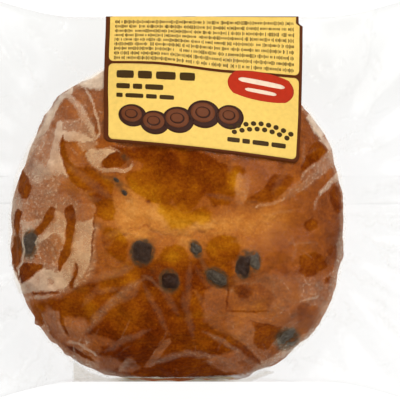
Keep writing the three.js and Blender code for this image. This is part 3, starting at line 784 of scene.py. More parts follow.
def film_hold(x, y):
    """How the film lies over the crown: its haze, the depth inside where it clings, the depth inside a dark
    seam, under which the crust gets painted shade, and that inside a pale crease, with its haze, partly a
    painted highlight. Edges wander by a part of a millimetre."""
    spot = np.stack([x, y], -1)
    x, y = wander(x, y, 51, EDGE_WANDER)
    haze, cling = np.full(np.shape(x), HAZE_ELSEWHERE), np.full(np.shape(x), -DEPTH_LIMIT)
    for _, level, soft, outline in FILM_PATCHES:
        depth = outline_depth(x, y, crown_place(outline), soft * PIXEL)
        if level < CLING_HAZE:
            cling = np.maximum(cling, np.minimum(depth, 1.0 - level / CLING_HAZE * LOOSENING))
        else:
            cling = np.minimum(cling, -depth)
            haze = haze + (level - haze) * smooth_step(depth, -1.5, 0.5)
    line, line_haze = np.full(np.shape(x), -DEPTH_LIMIT), np.zeros(np.shape(x))
    seam = np.full(np.shape(x), -DEPTH_LIMIT)
    streaks = [(level, half * PIXEL, crown_place(bends)) for level, half, bends in FILM_STREAKS]
    for level, half, bends in streaks + random_streaks:
        away, passed = line_away(x, y, bends)
        thin = CREASE_TIP + (1.0 - CREASE_TIP) * smooth_step(0.5 - np.abs(passed - 0.5), 0.0, CREASE_TAPER)
        soft = np.interp(level, FAINT_TO_STRONG, (LINE_SOFT + FAINT_SOFT * half, LINE_SOFT))
        soft = 2.0 * LINE_SOFT if level < CLING_HAZE else soft
        depth = np.clip((half * thin - away) / soft, -DEPTH_LIMIT, DEPTH_LIMIT)
        if level < CLING_HAZE:
            cling, seam = np.maximum(cling, depth), np.maximum(seam, depth)
        else:
            line_haze = np.where(depth > line, level, line_haze)
            line = np.maximum(line, depth)
    uneven = 1.0 + ripples(spot, 55, HAZE_UNEVEN)
    on_crown = smooth_step(crown_share(x, y), 1.03, 0.98)
    return haze * uneven * on_crown, cling, seam, line, line_haze * on_crown


def depth_mask(tree, name):
    """One inside and nothing outside the edge that a mark of depths holds."""
    return spread(tree, mark_on(tree, name), -1.0, 1.0, interpolation_type="SMOOTHSTEP")


def mottle(tree, size, amount, detail=3.0):
    """Noise about nothing, from minus half the amount to plus half of it."""
    sockets = [(0, noise(tree, size, detail)), (1, amount), (2, -amount / 2)]
    return add_node(tree, "ShaderNodeMath", sockets, operation="MULTIPLY_ADD").outputs["Value"]


# Under a seam, where the film creases into the crust, the crust is darkened with painted shade, and pale
# specks of crumb show through it.
SEAM_SHADE, SPECK_PALE = 0.08, 0.14
crust, tree, surface = new_material("baked_crust")
wet = depth_mask(tree, "cling")
shade = plus(tree, mark_on(tree, "bake_and_shade"), product(tree, depth_mask(tree, "seam"), SEAM_SHADE))
shade = plus(tree, shade, mottle(tree, 3.2, 0.24, 4.0))
shade = plus(tree, shade, mottle(tree, 0.8, 0.37, 2.0), clamp=True)
speck = spread(tree, noise(tree, 1.0, 1.0), 0.64, 0.76)
shade = arithmetic(tree, "SUBTRACT", shade, product(tree, speck, SPECK_PALE), clamp=True)
baked = blend(tree, wet, ramp(tree, shade, DRY_COLOURS), ramp(tree, shade, WET_COLOURS))
smeared_bake = blend(tree, mark_on(tree, "cocoa"), baked, (*SMEAR_COLOUR, 1.0))
tree.links.new(smeared_bake, surface.inputs["Base Color"])
tree.links.new(spread(tree, noise(tree, 4.0), start=0.42, end=0.70), surface.inputs["Roughness"])
surface.inputs["Specular IOR Level"].default_value = 0.01
crumb = plus(tree, noise(tree, 0.9, 4.0, 0.65), product(tree, noise(tree, 3.2), 0.8))
tree.links.new(bump(tree, crumb, 0.35), surface.inputs["Normal"])

# Chocolate rubs off round each chip, from its side outwards, and in the smears, a little unevenly.
RUBBED, RUB_FROM, RUB_TO = 0.90, 0.95, 1.42
muffin_x, muffin_y = muffin_points[:, 0], muffin_points[:, 1]
upper = muffin_points[:, 2] > RIM_HEIGHT - 4.0
_, clinging, seam, _, _ = film_hold(muffin_x, muffin_y)
clinging, seam = (np.where(upper, depth, -DEPTH_LIMIT) for depth in (clinging, seam))
rubbed = RUBBED * smooth_step(ellipse_reach(muffin_x, muffin_y, CHIPS[:, :5]).min(-1), RUB_TO, RUB_FROM)
smear = np.exp(-(ellipse_reach(muffin_x, muffin_y, SMEARS) ** 2)) * SMEARS[:, 5]
cocoa = np.maximum(rubbed, smear.max(-1)) * upper
cocoa = np.clip(cocoa * (1.0 + 0.22 * ripple(muffin_points, 1.7, 42)), 0.0, 1.0)
marks = [("bake_and_shade", bake_and_shade_of(muffin_points)), ("cling", clinging), ("seam", seam), ("cocoa", cocoa)]
muffin = make_piece("muffin", muffin_points, muffin_faces, crust, marks)
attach(muffin, "root")
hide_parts("film_wrapped_muffin")


# ==== Chocolate pieces ===========================================================================
# Dark chocolate chips, baked into the crust of the crown: softened drops, sunk to their shoulders, dull
# where they bloomed. They sit mostly along the golden split, with a few near the rim.
CHIP_TURNS, CHIP_RINGS = 36, 12
MELTED_COLOUR = (0.120, 0.058, 0.024)  # the rims, which have melted into the crust
CHOCOLATE_COLOURS = [(0.35, (0.019, 0.006, 0.002)), (0.75, (0.036, 0.014, 0.006))]
BLOOM_COLOURS = [(0.35, (0.046, 0.033, 0.021)), (0.75, (0.116, 0.095, 0.066))]
CHIP_LIMIT = 0.985  # of the rim's radius, so that no chip hangs over it
DROP_POWER = 2.6  # how flat a drop is on top


def crown_surface(x, y, proud=0.0):
    """The crust's own height over the crown, or that of a skin which stands proud of it. Both stand square to
    the dome, whose slope is share^(p-1) outwards to (1 - share^p)^((p-1)/p) up, over its radius and rise. So
    a place is the plain dome's further in, raised by the upright part."""
    share = np.maximum(crown_share(x, y), 1e-6)
    plain = np.maximum(crown_height(x, y), RIM_HEIGHT)
    stand = crust_relief(np.stack([x, y, plain], -1)) + proud
    out = np.minimum(share, 1.0) ** (CROWN_POWER - 1.0) / CROWN_RADIUS
    up = np.clip(1.0 - share**CROWN_POWER, 0.0, 1.0) ** (1.0 - 1.0 / CROWN_POWER) / (CROWN_TOP - RIM_HEIGHT)
    slope = np.hypot(out, up)
    inwards = 1.0 - stand * out / slope / (share * CROWN_RADIUS)
    further_in = crown_height(MUFFIN_X + (x - MUFFIN_X) * inwards, MUFFIN_Y + (y - MUFFIN_Y) * inwards)
    return further_in + stand * up / slope


def drop(count):
    """Unit drops: rings out from the tip, half as sunk at the rim as they stand out in the middle. Their
    outline is |x|^p + |y|^p = 1, which the squareness p sets, and wanders."""
    ring = np.linspace(0.0, 1.0, CHIP_RINGS + 1)[1:, None]
    angle = np.linspace(0.0, 2 * np.pi, CHIP_TURNS, endpoint=False)[None, :]
    height = (1.0 - ring**DROP_POWER) * 1.5 - 0.5 + 0 * angle
    shape = np.stack([ring * np.cos(angle), ring * np.sin(angle), height], -1)
    return np.broadcast_to(shape, (count, CHIP_RINGS, CHIP_TURNS, 3))


chip_turn = np.radians(CHIPS[:, 4])[:, None, None]
unit = drop(len(CHIPS))
apart = np.arange(len(CHIPS))[:, None, None, None] * 7.0  # so that each chip is uneven in its own way
wobble = 1.06 + 0.12 * ripple(unit[..., :2] * 1.6 + apart, 2.6, 41)
ring = np.hypot(unit[..., 0], unit[..., 1])
power = CHIPS[:, 7, None, None]
squared = (np.abs(unit[..., 0] / ring) ** power + np.abs(unit[..., 1] / ring) ** power) ** (-1.0 / power)
wobble = wobble * (1.0 + (squared - 1.0) * ring)
wide = unit[..., 0] * CHIPS[:, 2, None, None] * wobble
deep = unit[..., 1] * CHIPS[:, 3, None, None] * wobble
chip_x = CHIPS[:, 0, None, None] + wide * np.cos(chip_turn) - deep * np.sin(chip_turn)
chip_y = CHIPS[:, 1, None, None] + wide * np.sin(chip_turn) + deep * np.cos(chip_turn)
held_in = np.minimum(1.0, CHIP_LIMIT / crown_share(chip_x, chip_y))
chip_x, chip_y = MUFFIN_X + (chip_x - MUFFIN_X) * held_in, MUFFIN_Y + (chip_y - MUFFIN_Y) * held_in
chip_z = crown_surface(chip_x, chip_y) + unit[..., 2] * CHIPS[:, 5, None, None]
chip_z = chip_z + 0.10 * ripple(np.stack([chip_x, chip_y], -1), 1.8, 43)
tip_z = crown_surface(CHIPS[:, 0], CHIPS[:, 1]) + CHIPS[:, 5]
chip_tips = np.stack([CHIPS[:, 0], CHIPS[:, 1], tip_z], -1)
per_chip = CHIP_RINGS * CHIP_TURNS
starts = np.arange(len(CHIPS))[:, None, None] * per_chip
chip_quads = (grid_faces(CHIP_RINGS, CHIP_TURNS, wrap=True)[None] + starts).reshape(-1, 4)
around = np.arange(CHIP_TURNS)
tip_index = len(CHIPS) * per_chip + np.arange(len(CHIPS))[:, None]
chip_fans = np.stack([around + starts[:, 0], np.roll(around, -1) + starts[:, 0], tip_index + 0 * around], -1)
chip_points = np.concatenate([np.stack([chip_x, chip_y, chip_z], -1).reshape(-1, 3), chip_tips])

chocolate, tree, surface = new_material("dark_chocolate")
fresh = ramp(tree, noise(tree, 1.4), CHOCOLATE_COLOURS)
bloomed = blend(tree, mark_on(tree, "bloom"), fresh, ramp(tree, noise(tree, 0.9), BLOOM_COLOURS))
melted = blend(tree, mark_on(tree, "melted"), bloomed, (*MELTED_COLOUR, 1.0))
tree.links.new(melted, surface.inputs["Base Color"])
surface.inputs["Roughness"].default_value = 0.55
surface.inputs["Specular IOR Level"].default_value = 0.12
tree.links.new(bump(tree, noise(tree, 0.8), 0.15), surface.inputs["Normal"])

chip_faces = chip_quads.tolist() + chip_fans.reshape(-1, 3).tolist()
chip_bloom = np.concatenate([np.repeat(CHIPS[:, 6], per_chip), CHIPS[:, 6]])
chip_melted = np.concatenate([smooth_step(ring, 0.70, 1.02).ravel(), np.zeros(len(CHIPS))])
chip_marks = [("bloom", chip_bloom), ("melted", chip_melted)]
chips = make_piece("chocolate_chips", chip_points, chip_faces, chocolate, chip_marks)
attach(chips, "root")
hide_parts("film_wrapped_muffin")


# ==== The film ===================================================================================
# One sheet of clear film, made into a tube round the muffin. It is drawn taut over the crown and down
# to the side folds, closes to flat seals at both ends, and fans out in pleats on the way. It is clear
# where grease holds it against the crust, and hazy where it stands off or is creased.
PACK_LENGTH = pack_high[0] - pack_low[0]
SEAL_WIDTH = 12.0
SEAL_HALF_WIDTH = pack_high[1]
WAIST_HALF_WIDTH, WAIST_HALF_LENGTH = 57.3, 38.0
FOLD_HEIGHT = 26.0
SEAL_HEIGHT, SEAL_DROOP = 18.0, 4.0
SEAL_WAVE_HEIGHT, SEAL_WAVE_LENGTH = 1.3, 46.0
PLEAT_HEIGHT, PLEAT_SPREAD = 1.5, 15.0
DRAW_IN = 12.0  # the two sheets close up over about this length beyond the muffin
FRONT_REST, BACK_REST = 0.1, 0.25  # how far each sheet stands off its drawn surface, to its own side
DRAW_STATIONS, DRAW_STRIPS = 151, 109
FIRST_SWEEPS, LAST_SWEEPS = 260, 60
OVER_RELAX = 1.93
FINE_HALF_LENGTH = 64.0  # the tube is meshed finely this far from its middle
FRONT_STRIPS, BACK_STRIPS = 240, 48
TIGHT_FOLD = 0.999  # share of the half width where the last strip by a side fold starts
FOLD_FROM = 0.97  # the sheets close up to the side folds from this share of the half width
HOLD_FROM, HOLD_TO = 78.0, 83.0  # and to the seals over this stretch of the tube
BACK_BELOW = 0.1  # how far the back sheet lies under the front one where both have closed
TABLE_CLEAR = 0.3


def half_width(x):
    """Half the outline's width: a straight waist that flares to the flat seals."""
    flare = smooth_step(np.abs(x), WAIST_HALF_LENGTH, PACK_LENGTH / 2 - SEAL_WIDTH / 2)
    return WAIST_HALF_WIDTH + (SEAL_HALF_WIDTH - WAIST_HALF_WIDTH) * flare


def wing_share(x):
    """How far a station is from the waist to a seal, from 0 to 1."""
    return smooth_step(np.abs(x), WAIST_HALF_LENGTH, PACK_LENGTH / 2 - SEAL_WIDTH)


def seal_height(x, y):
    """Mid-height of a flat seal: drooping corners and a shallow wave across it."""
    wave = np.sin(2 * np.pi * y / SEAL_WAVE_LENGTH + np.where(x < 0, 0.4, 2.1))
    return SEAL_HEIGHT - SEAL_DROOP * (y / SEAL_HALF_WIDTH) ** 2 + SEAL_WAVE_HEIGHT * wave


def edge_height(x, y):
    """Mid-height of the film's edge: the side fold by the muffin, then the seal's corner."""
    return FOLD_HEIGHT + (seal_height(x, y) - FOLD_HEIGHT) * wing_share(x)


def seal_hold(x):
    """How far the sheets have closed up to the seals' height along the tube."""
    return smooth_step(np.abs(x), HOLD_FROM, HOLD_TO)


def edge_hold(x, y):
    """How far the sheets have closed up to the height of the film's edge: at the side folds and the seals."""
    return np.maximum(smooth_step(np.abs(y) / half_width(x), FOLD_FROM, 1.0), seal_hold(x))


def pleat(x, y):
    """Pleats of the wings: a triangle wave of the angle round the muffin's side, gone at seal, waist and
    folds."""
    turns = np.degrees(np.arctan2(y - MUFFIN_Y, np.abs(x) - WAIST_HALF_LENGTH / 2)) / PLEAT_SPREAD
    wave = np.abs(turns % 1.0 - 0.5) * 4.0 - 1.0
    open_share = wing_share(x)
    return PLEAT_HEIGHT * wave * 4 * open_share * (1 - open_share) * (1 - (y / half_width(x)) ** 6)


def draw_taut(x, y, height, lowest, highest, sweeps):
    """Draws a sheet taut: each point relaxes to the mean of its four neighbours, weighted by their distances,
    and past the muffin's foot to the pack's mid-height too, as the pack holds little air. The two colours
    of a chequerboard take turns, and the sheet stays between its limits."""
    height = height.copy()
    before_x, after_x = (x[1:-1] - x[:-2])[:, None], (x[2:] - x[1:-1])[:, None]
    before_y, after_y = y[1:-1, 1:-1] - y[1:-1, :-2], y[1:-1, 2:] - y[1:-1, 1:-1]
    weights = [1 / (before_x * (before_x + after_x)), 1 / (after_x * (before_x + after_x)),
               1 / (before_y * (before_y + after_y)), 1 / (after_y * (before_y + after_y))]
    pull = smooth_step(np.abs(x[1:-1] - MUFFIN_X), FOOT_RADIUS, CROWN_RADIUS)[:, None] / (2 * DRAW_IN**2)
    pulled = pull * edge_height(x[1:-1, None], y[1:-1, 1:-1])
    total = sum(weights) + pull
    free = np.abs(x[1:-1]) < PACK_LENGTH / 2 - SEAL_WIDTH
    row, column = np.indices(total.shape)
    for sweep in range(2 * sweeps):
        mean = (weights[0] * height[:-2, 1:-1] + weights[1] * height[2:, 1:-1]
                + weights[2] * height[1:-1, :-2] + weights[3] * height[1:-1, 2:] + pulled) / total
        relaxed = height[1:-1, 1:-1] + OVER_RELAX * (mean - height[1:-1, 1:-1])
        relaxed = np.clip(relaxed, lowest[1:-1, 1:-1], highest[1:-1, 1:-1])
        turn_now = ((row + column) % 2 == sweep % 2) & free[:, None]
        height[1:-1, 1:-1] = np.where(turn_now, relaxed, height[1:-1, 1:-1])
    return height


def sheet_at(sheet, x, y):
    """Height of a drawn sheet over any points: linear between the four grid heights round each."""
    along = np.clip((x / PACK_LENGTH + 0.5) * (DRAW_STATIONS - 1), 0, DRAW_STATIONS - 1.001)
    across = np.clip((y / half_width(x) + 1) / 2 * (DRAW_STRIPS - 1), 0, DRAW_STRIPS - 1.001)
    i, j = along.astype(int), across.astype(int)
    u, v = along - i, across - j
    low = sheet[i, j] * (1 - v) + sheet[i, j + 1] * v
    high = sheet[i + 1, j] * (1 - v) + sheet[i + 1, j + 1] * v
    return low * (1 - u) + high * u


draw_x = np.linspace(-PACK_LENGTH / 2, PACK_LENGTH / 2, DRAW_STATIONS)
draw_y = half_width(draw_x)[:, None] * np.linspace(-1.0, 1.0, DRAW_STRIPS)
draw_edge = edge_height(draw_x[:, None], draw_y)
dome = crown_height(draw_x[:, None] + 0 * draw_y, draw_y)
under = underside_height(draw_x[:, None] + 0 * draw_y, draw_y)
upper_sheet = draw_taut(draw_x, draw_y, np.maximum(draw_edge, dome), dome, 0 * draw_y + FAR, FIRST_SWEEPS)
lower_sheet = draw_taut(draw_x, draw_y, np.minimum(draw_edge, under), 0 * draw_y, under, FIRST_SWEEPS)

# Stations are close over the muffin and wider in the wings.
wing_stations = np.linspace(FINE_HALF_LENGTH, PACK_LENGTH / 2 - SEAL_WIDTH + 1.0, 33)
fine_stations = np.linspace(-FINE_HALF_LENGTH, FINE_HALF_LENGTH, 277)
film_x = np.concatenate([-wing_stations[:0:-1], fine_stations, wing_stations[1:]])
front_share = np.concatenate([[-1.0], np.linspace(-TIGHT_FOLD, TIGHT_FOLD, FRONT_STRIPS - 1), [1.0]])
front_y = half_width(film_x)[:, None] * front_share
front_x = film_x[:, None] + 0 * front_y

# ---- Under the label ----------------------------------------------------------------------------
# The sticker holds the film smooth: its middle, size, skew, and the slope and bow of its lower edge.
LABEL_MIDDLE, LABEL_HALF_WIDTH = 1.4, 31.0
LABEL_FRONT_LENGTH, LABEL_BACK_LENGTH = 42.2, 22.0
LABEL_TAPER = 0.035  # share of its width that the front loses by bending down over the crown
LABEL_SKEW = math.tan(math.radians(1.3))
LABEL_EDGE_SLOPE = math.tan(math.radians(6.3))
LABEL_EDGE_BOW = 0.7


def front_length(across):
    """Length of the label's front from the fold at a place across: sloped, and bowed towards the corners."""
    return LABEL_FRONT_LENGTH + across * LABEL_EDGE_SLOPE + LABEL_EDGE_BOW * (across / LABEL_HALF_WIDTH) ** 2


def over_label(x, y, margin):
    """One under the label's front, fading to nothing within a margin outside its edges."""
    down = WAIST_HALF_WIDTH - y
    across = (x - LABEL_MIDDLE + down * LABEL_SKEW) / (1.0 - LABEL_TAPER * down / LABEL_FRONT_LENGTH)
    inside = np.minimum(LABEL_HALF_WIDTH - np.abs(across), front_length(across) - down)
    return smooth_step(inside, -margin, 0.0)


def crease_marks(x, y, creases):
    """How strongly each point lies in a crease: a tent of the distance from its line, tapered at its ends."""
    strongest = np.zeros_like(x)
    for x0, y0, x1, y1, half, pale in creases:
        run = np.array([x1 - x0, y1 - y0])
        share = ((x - x0) * run[0] + (y - y0) * run[1]) / (run @ run)
        held = np.clip(share, 0.0, 1.0)
        away = np.hypot(x - x0 - held * run[0], y - y0 - held * run[1])
        taper = smooth_step(0.55 - np.abs(held - 0.5), 0.0, 0.3)
        strongest = np.maximum(strongest, pale * taper * np.clip(1.0 - away / half, 0.0, 1.0))
    return strongest


def soften(values, passes):
    """Blurs a grid: each pass is a quarter, a half and a quarter of three neighbours, along and across."""
    for _ in range(passes):
        values = np.pad(values, 1, mode="edge")
        values = (values[:-2] + 2 * values[1:-1] + values[2:]) / 4
        values = (values[:, :-2] + 2 * values[:, 1:-1] + values[:, 2:]) / 4
    return values


spot = np.stack([front_x, front_y], -1)
clear_of_label = 1.0 - over_label(front_x, front_y, 0.8)
from_middle = crown_share(front_x, front_y)
on_crown = smooth_step(from_middle, 1.03, 0.95)
haze, clinging, _, line, line_haze = film_hold(front_x, front_y)

# The lower fold is doubled back in a narrow hem beside the muffin, with painted shadow and a painted
# reflection of the muffin in its olive-brown milk: its outline in view pixels, its haze, and the share of
# that which it keeps towards its ends.
HEM = (73, 354, 80, 363, 92, 372, 110, 377.5, 130, 377, 160, 377.5, 200, 376.5, 220, 375.5, 244, 373.5,
    262, 368, 275, 372, 262, 377, 250, 382, 73, 382)
HEM_SHADE_HAZE, HEM_ENDS = 0.92, 0.36
hem_shade = smooth_step(outline_depth(front_x, front_y, crown_place(HEM), 1.2 * PIXEL), -1.0, 1.0)
hem_darkest = smooth_step(front_x, -30.0, -21.0) * smooth_step(front_x, 14.0, 4.0)
hem_shade = hem_shade * (HEM_ENDS + (1.0 - HEM_ENDS) * hem_darkest)

# Loose creases in the wings and round the rim, drawn at random: mostly away from the muffin.
LOOSE, LOOSE_HEIGHT, LOOSE_WANDER = 150, 0.7, ((5.0, 0.5), (2.0, 0.25))
draw = np.random.default_rng(61)
from_angle = draw.uniform(0, 2 * np.pi, LOOSE)
from_reach = draw.uniform(50.0, 84.0, LOOSE)
heading = from_angle + draw.normal(0.0, 0.5, LOOSE)
run = draw.uniform(7.0, 30.0, LOOSE)
start_x = MUFFIN_X + from_reach * np.cos(from_angle)
start_y = MUFFIN_Y + 0.8 * from_reach * np.sin(from_angle)
loose_creases = np.stack([start_x, start_y, start_x + run * np.cos(heading), start_y + run * np.sin(heading),
                          draw.uniform(0.8, 2.2, LOOSE), draw.uniform(0.15, 0.8, LOOSE)], -1)
loose = crease_marks(*wander(front_x, front_y, 61, LOOSE_WANDER), loose_creases) * clear_of_label

# ---- The front sheet ----------------------------------------------------------------------------
# The film clears the crust and its chips by a little, and by more at the rim. Hazy film stands off further,
# in broad blisters with ridges along their middles.
CRUST_CLEAR, RIM_CLEAR = 0.12, 0.2
FULL_HAZE = 0.35  # haze of film that stands off the crust as far as it does anywhere
BLISTER_HEIGHT, RIDGE_HEIGHT = 0.6, 0.5
chip_reach = ellipse_reach(front_x, front_y, CHIPS[:, :5])
chip_top = (CHIPS[:, 5] * np.clip(1.0 - chip_reach**2, 0.0, 1.0)).max(-1)
clear = chip_top + CRUST_CLEAR + RIM_CLEAR * smooth_step(from_middle, 0.93, 0.99)
film_floor = crown_surface(front_x, front_y, clear)
front_z = sheet_at(upper_sheet, front_x, front_y) + FRONT_REST
front_z = np.maximum(front_z, film_floor)
front_z = draw_taut(film_x, front_y, front_z, film_floor, 0 * front_x + FAR, LAST_SWEEPS)
natural_gap = front_z - film_floor
stand = np.maximum(haze * (clinging < 0), line_haze * (line > -1)) / FULL_HAZE
stand = np.clip(stand, 0.0, 1.0) * clear_of_label
ridge = np.clip(soften(stand, 1) - soften(stand, 14), 0.0, 1.0)
lift = BLISTER_HEIGHT * soften(stand, 10) + RIDGE_HEIGHT * ridge
front_z = front_z + FRONT_REST + lift + LOOSE_HEIGHT * loose + pleat(front_x, front_y)
front_z = np.maximum(front_z, film_floor)
front_z = front_z + (edge_height(front_x, front_y) - front_z) * edge_hold(front_x, front_y)

# How milky the film is, how milky along its creases, and how warm the milk is: browner inwards over the
# crown. Some milk comes of the gap to the crust, of loose creases and of the rim, and it is less by the label
# and a chip.
HAZE_GAP, HAZE_CREASE, HAZE_RIM = 0.006, 0.12, 0.17
LABEL_KEEPS, CHIP_TAKES, MOST_HAZE = 0.25, 0.85, 0.8
WARM_OFF, WARM_RIM, WARM_INWARDS = 0.10, 0.10, 0.80
gap_haze = HAZE_GAP * smooth_step(natural_gap, 0.15, 2.5) * on_crown
rim_haze = HAZE_RIM * smooth_step(from_middle, 0.955, 1.0) * smooth_step(from_middle, 1.02, 1.0)
under_label = LABEL_KEEPS + (1.0 - LABEL_KEEPS) * clear_of_label
over_chip = 1.0 - CHIP_TAKES * smooth_step(chip_reach.min(-1), 1.15, 0.85)
veil = (np.clip(haze, 0.0, MOST_HAZE) * over_chip + gap_haze + rim_haze + HAZE_CREASE * loose) * under_label
# In the hem the milk is painted shadow and a painted reflection of the muffin.
veil = np.maximum(veil, HEM_SHADE_HAZE * hem_shade)
# Milk along the pale creases, partly a painted highlight.
crease_milk_and_highlight = line_haze * under_label * np.where(line_haze > 0.2, 1.0, over_chip)
warmth = WARM_OFF + on_crown * (WARM_RIM + WARM_INWARDS * smooth_step(from_middle, 1.02, 0.62))
warmth = warmth * (1.0 - hem_shade)

# Off the muffin the film is greyer: partly the doubled film and partly painted shade of the table under it
# and in loose creases, most of all at the left and along the waist's back fold.
GREY_PLAIN, GREY_LEFT, GREY_WAIST, GREY_CREASE, GREY_UNEVEN = 0.05, 1.25, 1.8, 0.5, 0.25
grey = GREY_PLAIN + GREY_LEFT * smooth_step(-front_x, 30.0, 60.0) * np.exp(-(((front_y - 18.0) / 30.0) ** 2))
grey = grey + GREY_WAIST * smooth_step(front_y, 20.0, 52.0)
grey = grey * (1.0 + GREY_UNEVEN * ripple(spot, 22.0, 65))
grey = grey * (1.0 - smooth_step(from_middle, 1.04, 0.98)) + GREY_CREASE * loose

# ---- The back sheet and the whole tube ----------------------------------------------------------
back_share = np.linspace(1.0, -1.0, BACK_STRIPS + 1)[1:-1]
back_share = 0.998 * (0.55 * back_share + 0.45 * np.sin(back_share * np.pi / 2))  # closer towards the folds
back_share = np.concatenate([[TIGHT_FOLD], back_share, [-TIGHT_FOLD]])
back_y = half_width(film_x)[:, None] * back_share
back_x = film_x[:, None] + 0 * back_y
back_z = sheet_at(lower_sheet, back_x, back_y) - BACK_REST + pleat(back_x, back_y)
back_z = np.maximum(back_z, TABLE_CLEAR)
back_z = back_z + (edge_height(back_x, back_y) - BACK_BELOW - back_z) * edge_hold(back_x, back_y)

tube = np.concatenate([np.stack([front_x, front_y, front_z], -1), np.stack([back_x, back_y, back_z], -1)], 1)
tube_faces = grid_faces(tube.shape[0], tube.shape[1], wrap=True)
tube_marks = []
for mark, on_front, on_back in (
        ("veil", veil, 0.004), ("warmth", warmth, 0.1), ("cling", clinging, -DEPTH_LIMIT),
        ("line", line, -DEPTH_LIMIT), ("crease_milk_and_highlight", crease_milk_and_highlight, 0.0), ("grey", grey, 0.4)):
    tube_marks.append((mark, np.concatenate([on_front, np.full_like(back_x, on_back)], 1)))

# Hazy film is olive-brown in the hem, as painted shadow and painted reflection of the muffin, grey-white off
# the muffin, and browner inwards over it.
MILK_COLOURS = [
    (0.00, (0.185, 0.125, 0.045)),
    (0.065, (0.400, 0.272, 0.095)),
    (0.09, (0.820, 0.820, 0.812)),
    (0.12, (0.850, 0.765, 0.650)),
    (0.20, (0.880, 0.715, 0.530)),
    (0.54, (0.890, 0.645, 0.430)),
    (1.00, (0.910, 0.600, 0.320)),
]
PLAIN_TINT, DOUBLED_AND_SHADED_TINT = (0.978, 0.979, 0.980, 1.0), (0.925, 0.925, 0.918, 1.0)
HELD_CLEAR = 0.97  # share of its haze that clinging film loses
# Shares of its gloss that film loses everywhere, over the greasy muffin, and where it clings.
PLAIN_DULL, GREASE_DULL, HELD_DULL = 0.40, 0.45, 0.15
GREASE_WARMTH = 0.11  # the milk is warmer than this wherever the film lies over the muffin
FILM_IOR, MOST_SHINE = 1.40, 0.22


def new_film(name):
    """A material for film, without the BSDF that it starts with: the material and its node tree."""
    material, tree, surface = new_material(name)
    tree.nodes.remove(surface)
    return material, tree


def hazy_film(tree, tint, milk, share):
    """See-through film of one tint, with a share of milk in it."""
    see_through = add_node(tree, "ShaderNodeBsdfTransparent", [("Color", tint)])
    milky = add_node(tree, "ShaderNodeBsdfDiffuse", [("Color", milk)])
    layers = [("Fac", share), (1, see_through.outputs[0]), (2, milky.outputs[0])]
    return add_node(tree, "ShaderNodeMixShader", layers).outputs[0]


def glossy_film(tree, body, shine, roughness, wrinkle):
    """Finishes a film: its body under a share of gloss."""
    gloss = add_node(tree, "ShaderNodeBsdfAnisotropic", [("Roughness", roughness), ("Normal", wrinkle)])
    whole = add_node(tree, "ShaderNodeMixShader", [("Fac", shine), (1, body), (2, gloss.outputs[0])])
    tree.links.new(whole.outputs[0], tree.nodes["Material Output"].inputs["Surface"])


# Milk over the film: fine threads in it, less where it clings, more along creases, then cloudy, with fine
# bright beads that are painted glints.
clear_film, tree = new_film("clear_film")
milk = mark_on(tree, "veil")
warm = mark_on(tree, "warmth")
held = depth_mask(tree, "cling")
off_middle = arithmetic(tree, "ABSOLUTE", arithmetic(tree, "SUBTRACT", noise(tree, 7.0, 2.0, 0.45), 0.5), 0.0)
threads = product(tree, spread(tree, off_middle, 0.012, 0.003), arithmetic(tree, "MINIMUM", milk, 0.04))
milk = plus(tree, milk, threads)
milk = product(tree, milk, arithmetic(tree, "SUBTRACT", 1.0, product(tree, held, HELD_CLEAR)))
creased = arithmetic(tree, "SUBTRACT", mark_on(tree, "crease_milk_and_highlight"), milk)
creased = product(tree, depth_mask(tree, "line"), creased)
milk = plus(tree, milk, arithmetic(tree, "MAXIMUM", creased, 0.0))
glint_beads = spread(tree, noise(tree, 0.85, 1.0), 0.56, 0.66)
beaded_glints = product(tree, glint_beads, spread(tree, milk, 0.05, 0.10, 0.0, 0.17))
cloudy = plus(tree, mottle(tree, 1.7, 0.5), mottle(tree, 0.6, 0.4))
milk = product(tree, milk, plus(tree, cloudy, 1.0))
beaded_glints = product(tree, beaded_glints, spread(tree, milk, 0.18, 0.32, 1.0, 0.3))
milk = plus(tree, milk, beaded_glints, clamp=True)
# The grey tint is the doubled film and painted shade of the table seen through it.
tint = blend(tree, mark_on(tree, "grey"), PLAIN_TINT, DOUBLED_AND_SHADED_TINT)
body = hazy_film(tree, tint, ramp(tree, warm, MILK_COLOURS), milk)

wrinkle = bump(tree, noise(tree, 2.2, 3.0, 0.6), 0.08)
shine = add_node(tree, "ShaderNodeFresnel", [("IOR", FILM_IOR), ("Normal", wrinkle)]).outputs["Fac"]
dulled = product(tree, arithmetic(tree, "GREATER_THAN", warm, GREASE_WARMTH), GREASE_DULL)
dulled = plus(tree, dulled, product(tree, held, HELD_DULL))
dulled = plus(tree, dulled, PLAIN_DULL)
polish = arithmetic(tree, "SUBTRACT", 1.0, dulled)
glossy_film(tree, body, product(tree, arithmetic(tree, "MINIMUM", shine, MOST_SHINE), polish), 0.16, wrinkle)

film = make_piece("film", tube.reshape(-1, 3), tube_faces.tolist(), clear_film, tube_marks)
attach(film, "root")
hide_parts("film_wrapped_muffin")


# ==== End seals ==================================================================================
# At each end the two sheets are welded between hot jaws, which leave a band of fine crimps that run
# along the tube. The film is cut to length with a zigzag knife.
CRIMP_PITCH, CRIMP_HEIGHT = 1.3, 0.22
STATIONS_PER_CRIMP = 4
SEAL_BODY = 0.14
ZIGZAG_PITCH, ZIGZAG_DEPTH = 2.4, 0.8


def slab_faces(rows, columns):
    """Faces of a closed slab: a grid that faces out, the same grid behind it, and walls round the rim."""
    front = grid_faces(rows, columns)
    index = np.arange(rows * columns).reshape(rows, columns)
    rim = np.concatenate([index[:-1, 0], index[-1, :-1], index[:0:-1, -1], index[0, :0:-1]])
    onward = np.roll(rim, -1)
    count = rows * columns
    walls = np.stack([rim, rim + count, onward + count, onward], -1)
    return np.concatenate([front, front[:, ::-1] + count, walls])


def zigzag(value):
    """A triangle wave from 0 to 1 and back over each whole step."""
    return np.abs((value % 1.0) * 2.0 - 1.0)


